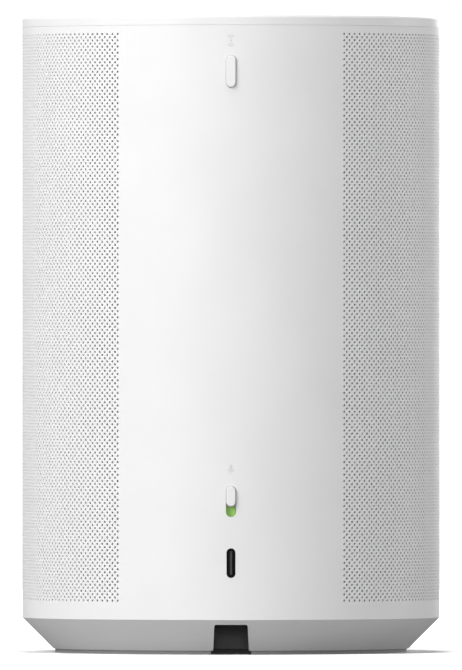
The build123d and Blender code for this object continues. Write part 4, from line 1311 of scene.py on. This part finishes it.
def capsule_prism(name: str, length: float, width: float, depth: float, sides: int = 48) -> bpy.types.Object:
    """Model an upright bar with round ends, along Y and centred on the origin.

    Args:
        name: The piece's name.
        length: Its length in Z.
        width: Its width in X.
        depth: Its depth in Y.
        sides: Sides of the two round ends together.

    Returns:
        The bar.
    """
    clear_selection()
    bpy.ops.mesh.primitive_cylinder_add(
        vertices=sides, radius=width / 2, depth=depth, rotation=UPRIGHT, end_fill_type="NGON"
    )
    made = bpy.context.active_object
    made.name = name
    place_in_mesh(made)
    with editing(made):
        bpy.ops.mesh.select_all(action="SELECT")
        bpy.ops.mesh.bisect(plane_co=(0, 0, 0), plane_no=(0, 0, 1))
    half = (length - width) / 2
    with editing(made) as mesh:
        choose(mesh, "FACE", lambda face: face.calc_center_median().z > 0)
        bpy.ops.mesh.split()
        bpy.ops.transform.translate(value=(0, 0, half))
        bpy.ops.mesh.select_all(action="INVERT")
        bpy.ops.transform.translate(value=(0, 0, -half))
        choose(mesh, "EDGE", lambda edge: edge.is_boundary)
        bpy.ops.mesh.bridge_edge_loops()
        bpy.ops.mesh.select_all(action="SELECT")
        bpy.ops.mesh.normals_make_consistent(inside=False)
    return made


# ---------------------------------------------------------------- cloth behind the holes
@dataclass
class Scrim:
    """The acoustic cloth, one sheet stretched round the inside of the perforated wall.

    Attributes:
        plan: The body's outline.
        low: Height of the lower edge.
        high: Height of the upper edge.
        half_gap: Half the straight width that is left open at the back.
        inset: Distance of its outer face inside the outline.
        thickness: Thickness of the cloth.
        columns: Faces along it.
        rows: Faces up it.
    """

    plan: Plan
    low: float
    high: float
    half_gap: float
    inset: float = 2.35 * MM
    thickness: float = 0.5 * MM
    columns: int = 220
    rows: int = 8

    @property
    def start(self) -> float:
        """Distance of its first edge from the middle of the back, along the outline."""
        return self.plan.end_radius * math.asin(self.half_gap / self.radius)

    @property
    def radius(self) -> float:
        """Radius of the middle of the cloth round the ends of the body."""
        return self.plan.end_radius - self.inset - self.thickness / 2

    @property
    def flat_width(self) -> float:
        """Width that the cloth was cut to, measured along its own middle."""
        quarters = math.pi - self.start / self.plan.end_radius
        return 2 * (quarters * self.radius + 2 * self.plan.end_centre)

    def build(self) -> bpy.types.Object:
        """Make the cloth.

        Returns:
            The cloth, on the casing.
        """
        width = 2 * (self.plan.half_length - self.start)
        centre = (self.plan.half_length, -self.inset, (self.low + self.high) / 2)
        made = upright_sheet("sleeve_scrim", width, self.high - self.low, centre, self.columns, self.rows)
        finish_modifier(made, "SOLIDIFY", thickness=self.thickness, offset=-1.0)
        self.mark_threads(made)
        reshape(made, self.plan.wrap)
        soften(made)
        hand_over(made, "scrim_grey")
        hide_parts("acoustic_scrim")
        return made

    @staticmethod
    def mark_threads(cloth: bpy.types.Object) -> None:
        """Keep each point's flat place, so that the threads follow the cloth.

        Args:
            cloth: The cloth, still flat.
        """
        layer = cloth.data.attributes.new("threads", "FLOAT_VECTOR", "POINT")
        for vertex in cloth.data.vertices:
            layer.data[vertex.index].vector = (vertex.co.x, vertex.co.z, 0.0)


# ---------------------------------------------------------------- printed marks
@dataclass
class PrintedMarks:
    """Small generic marks in pale print on the rear panel.

    Attributes:
        plan: The body's outline.
        line: Width of a printed line.
        proud: How far the print stands off the panel.
        sunk: How far it reaches into the panel.
        pairing_height: Height of the mark over the pairing button.
        rings: Radii of its broken rings.
        microphone_height: Height of the mark over the microphone switch.
    """

    plan: Plan
    line: float = 0.32 * MM
    proud: float = 0.015 * MM
    sunk: float = 0.1 * MM
    pairing_height: float = 175.2 * MM
    rings: tuple[float, ...] = (0.9 * MM, 1.5 * MM)
    microphone_height: float = 53.0 * MM

    def arc(
        self, centre: float, radius: float, first: float, last: float, steps: int = 24
    ) -> bpy.types.Object:
        """Print part of a ring on the flat panel.

        Args:
            centre: Height of the ring's centre, on the panel's middle line.
            radius: Radius of the middle of the line.
            first: Angle where it starts, in degrees up from +X.
            last: Angle where it ends.
            steps: Faces along it.

        Returns:
            The line, flat.
        """
        made = upright_sheet("arc", 1.0, 1.0, (0.0, 0.0, 0.0), steps)

        def bend(flat: Vector) -> Point:
            """Send a point of the straight strip to the ring."""
            turn = math.radians(first + (last - first) * (flat.x + 0.5))
            out = radius - flat.z * self.line
            return out * math.cos(turn), self.proud, centre + out * math.sin(turn)

        reshape(made, bend)
        face_along(made, BACKWARDS)
        finish_modifier(made, "SOLIDIFY", thickness=self.proud + self.sunk, offset=-1.0)
        return made

    def bar(self, centre: float, length: float, width: float, across: bool = False) -> bpy.types.Object:
        """Print a bar with round ends on the flat panel.

        Args:
            centre: Height of its middle.
            length: Its length.
            width: Its width.
            across: Whether it lies across instead of upright.

        Returns:
            The bar, flat.
        """
        made = capsule_prism("bar", length, width, self.proud + self.sunk, sides=24)
        middle = (self.proud - self.sunk) / 2
        if across:
            reshape(made, lambda p: (p.z, p.y + middle, centre - p.x))
        else:
            reshape(made, lambda p: (p.x, p.y + middle, p.z + centre))
        return made

    def build(self) -> list[bpy.types.Object]:
        """Print the pairing mark and the microphone mark.

        Returns:
            The marks, on the casing.
        """
        dot = self.bar(self.pairing_height, 0.72 * MM, 0.7 * MM)
        pairing = [dot]
        for radius in self.rings:
            for first, last in ((52.0, 128.0), (232.0, 308.0)):
                pairing.append(self.arc(self.pairing_height, radius, first, last))
        height = self.microphone_height
        capsule = self.bar(height + 0.45 * MM, 1.7 * MM, 0.85 * MM)
        cradle = self.arc(height + 0.1 * MM, 0.8 * MM, 180.0, 360.0)
        stem = self.bar(height - 1.05 * MM, 0.7 * MM, self.line)
        foot = self.bar(height - 1.4 * MM, 1.2 * MM, self.line, across=True)
        microphone = [capsule, cradle, stem, foot]
        marks = []
        for name, strokes in (("pairing_mark", pairing), ("microphone_mark", microphone)):
            mark = join(strokes, name)
            reshape(mark, self.plan.wrap)
            soften(mark)
            hand_over(mark, "shell_white", PRINT_GREY)
            marks.append(mark)
        return marks


# ---------------------------------------------------------------- the room it stands in
@dataclass(frozen=True)
class Lamp:
    """A soft light panel that faces the middle of the body.

    Attributes:
        name: The lamp's name.
        turn: Its angle from the back, towards +X, in degrees.
        rise: Its angle above the middle of the body, in degrees.
        power: Its power in watts.
        size: Its width and height.
        distance: Its distance from the middle of the body.
    """

    name: str
    turn: float
    rise: float
    power: float
    size: tuple[float, float] = (0.8, 1.4)
    distance: float = 2.6

    def hang(self) -> bpy.types.Object:
        """Hang the lamp.

        Returns:
            The lamp's object.
        """
        turn, rise = math.radians(self.turn), math.radians(self.rise)
        away = Vector((math.sin(turn) * math.cos(rise), math.cos(turn) * math.cos(rise), math.sin(rise)))
        light = bpy.data.lights.new(self.name, "AREA")
        light.shape = "RECTANGLE"
        light.size, light.size_y = self.size
        light.energy = self.power
        hung = bpy.data.objects.new(self.name, light)
        hung.location = MIDDLE + away * self.distance
        hung.rotation_euler = (-away).to_track_quat("-Z", "Y").to_euler()
        hung.visible_camera = False
        bpy.context.scene.collection.objects.link(hung)
        return hung


@dataclass
class Studio:
    """A plain pale floor, soft light and the camera.

    Attributes:
        lamps: The light panels.
        floor_size: Side of the floor.
        distance: Camera's distance from the middle of the body.
        lens: Its focal length in millimetres.
        surround: Brightness of the surround as a light.
        backdrop: Brightness of the surround as the camera sees it.
        fade: Heights, as a share of straight up, where the surround starts and ends fading to dark.
    """

    lamps: tuple[Lamp, ...] = (
        Lamp("overhead", turn=0.0, rise=80.0, power=22.0),
        Lamp("high_key", turn=50.0, rise=45.0, power=30.5),
        Lamp("low_key", turn=35.0, rise=20.0, power=24.0),
        Lamp("far_fill", turn=-110.0, rise=10.0, power=12.5),
        Lamp("low_fill", turn=0.0, rise=2.0, power=4.0, size=(0.3, 0.3)),
        Lamp("front_fill", turn=-165.0, rise=12.0, power=15.0),
    )
    floor_size: float = 3.0
    distance: float = 6.15
    lens: float = 1147.0
    surround: float = 0.83
    backdrop: float = 1.05
    fade: tuple[float, float] = (0.3, 0.8)

    def build(self) -> None:
        """Set up the floor, the light and the camera."""
        self.lay_floor()
        self.light_surround()
        for lamp in self.lamps:
            lamp.hang()
        self.stand_camera()

    def lay_floor(self) -> None:
        """Lay the floor."""
        clear_selection()
        bpy.ops.mesh.primitive_grid_add(x_subdivisions=12, y_subdivisions=12, size=self.floor_size)
        floor = bpy.context.active_object
        floor.name = "studio_floor"
        # Its finish paints a shadow on the floor under the object and just round it.
        FloorFinish("pale floor", (0.98, 0.98, 0.98)).put_on(floor)

    def light_surround(self) -> None:
        """Light the scene from all round, and show the surround as plain white."""
        world = bpy.data.worlds.new("studio")
        bpy.context.scene.world = world
        world.use_nodes = True
        world.node_tree.nodes.clear()
        wiring = Wiring(world.node_tree)
        seen = wiring.node("ShaderNodeLightPath").outputs["Is Camera Ray"]
        facing = wiring.node("ShaderNodeTexCoord").outputs["Generated"]
        height = wiring.node("ShaderNodeSeparateXYZ", Vector=facing).outputs["Z"]
        share = wiring.maths("SUBTRACT", 1.0, wiring.spread(height, *self.fade))
        strength = wiring.maths("MULTIPLY", share, self.surround)
        light = wiring.node("ShaderNodeBackground", Color=(1.0, 1.0, 1.0), Strength=strength)
        white = wiring.node("ShaderNodeBackground", Color=(1.0, 1.0, 1.0), Strength=self.backdrop)
        mixed = wiring.node("ShaderNodeMixShader")
        wiring.link(seen, mixed.inputs[0])
        wiring.link(light.outputs[0], mixed.inputs[1])
        wiring.link(white.outputs[0], mixed.inputs[2])
        output = wiring.node("ShaderNodeOutputWorld")
        wiring.link(mixed.outputs[0], output.inputs["Surface"])

    def stand_camera(self) -> None:
        """Stand the camera level behind the object, at half its height."""
        camera = bpy.data.objects.new("camera", bpy.data.cameras.new("camera"))
        camera.data.lens = self.lens
        camera.data.sensor_width = 36.0
        camera.data.clip_start, camera.data.clip_end = 1.0, 20.0
        camera.location = (MIDDLE.x, self.distance, MIDDLE.z)
        camera.rotation_euler = (math.pi / 2, 0.0, math.pi)
        bpy.context.scene.collection.objects.link(camera)
        bpy.context.scene.camera = camera


@dataclass(frozen=True)
class FloorFinish(Finish):
    """A matt pale floor that shows as plain white where nothing shades it, with a painted shadow under the
    object and just round it.

    Attributes:
        patch: Size of a patch of the slightly darker shade.
        bounce: Share of light that the floor throws back on the object.
        glow: Brightness that the seen floor has of its own.
        covered: Distances from the middle of the object over which the painted shadow fades and the glow
            comes up to full.
        painted_shadow_narrowing: How much narrower the painted shadow is across than from front to back.
        rest: Share of the glow that is left in the painted shadow under the object.
    """

    patch: float = 0.2
    bounce: float = 0.31
    glow: float = 0.5
    covered: tuple[float, float] = (0.066, 0.071)
    painted_shadow_narrowing: float = 1.08
    rest: float = 0.03

    def dress(self, wiring: Wiring, shader: bpy.types.Node) -> None:
        """Wire the finish into a Principled shader.

        Args:
            wiring: The material's tree.
            shader: The Principled shader.
        """
        place = self.place(wiring)
        colours = {"Colour": self.colour, "Second_colour": self.dimmed(0.99)}
        mottle = self.lay(wiring, shader, Effect.MOTTLE, Place=place, Size=self.patch, **colours)
        seen = wiring.node("ShaderNodeLightPath").outputs["Is Camera Ray"]
        mixed = wiring.mix(seen, self.dimmed(self.bounce), mottle.outputs["Colour"])
        wiring.link(mixed, shader.inputs["Base Color"])
        # Painted shadow: the seen floor's glow fades to a small share in an oval under the object, so the
        # floor shows darker there.
        narrowed = wiring.vector("MULTIPLY", place, (self.painted_shadow_narrowing, 1.0, 1.0))
        reach = wiring.vector("LENGTH", narrowed.outputs["Vector"])
        floor_outside_painted_shadow = wiring.spread(reach.outputs["Value"], *self.covered)
        left = wiring.maths("MAXIMUM", floor_outside_painted_shadow, self.rest)
        glow = wiring.maths("MULTIPLY", left, self.glow)
        wiring.link(wiring.maths("MULTIPLY", seen, glow), shader.inputs["Emission Strength"])
        shader.inputs["Emission Color"].default_value = (1.0, 1.0, 1.0, 1.0)
        shader.inputs["Roughness"].default_value = 0.9
        shader.inputs["Specular IOR Level"].default_value = 0.0


def main() -> None:
    """Build every piece in order, and report each one."""
    logging.basicConfig(level=logging.INFO, format="%(message)s")
    bpy.context.scene.view_settings.view_transform = "Standard"
    log.info("dressed %d packed parts", dress_packed_parts(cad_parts))
    plan = Plan.of_node("outer_sleeve")
    low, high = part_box("outer_sleeve")
    sleeve = Sleeve(plan, low.z, high.z)
    for piece in sleeve.build():
        log.info("%s: %d faces", piece.name, len(piece.data.polygons))
    button = (166.4 * MM, 9.3 * MM, 3.0 * MM)
    switch = (43.8 * MM, 8.9 * MM, 2.95 * MM)
    usb_port = (26.2 * MM, 8.5 * MM, 2.6 * MM)
    panel = RearPanel(plan, low.z, high.z, sleeve.panel_edge, (button, switch, usb_port)).build()
    log.info("%s: %d faces", panel.name, len(panel.data.polygons))
    cloth_low, cloth_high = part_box("acoustic_scrim")
    scrim = Scrim(plan, cloth_low.z, cloth_high.z, half_gap=32.3 * MM)
    log.info("%s: cut %.4f m wide", scrim.build().name, scrim.flat_width)
    for mark in PrintedMarks(plan).build():
        log.info("%s: %d faces", mark.name, len(mark.data.polygons))
    Studio().build()


if __name__ == "__main__":
    main()
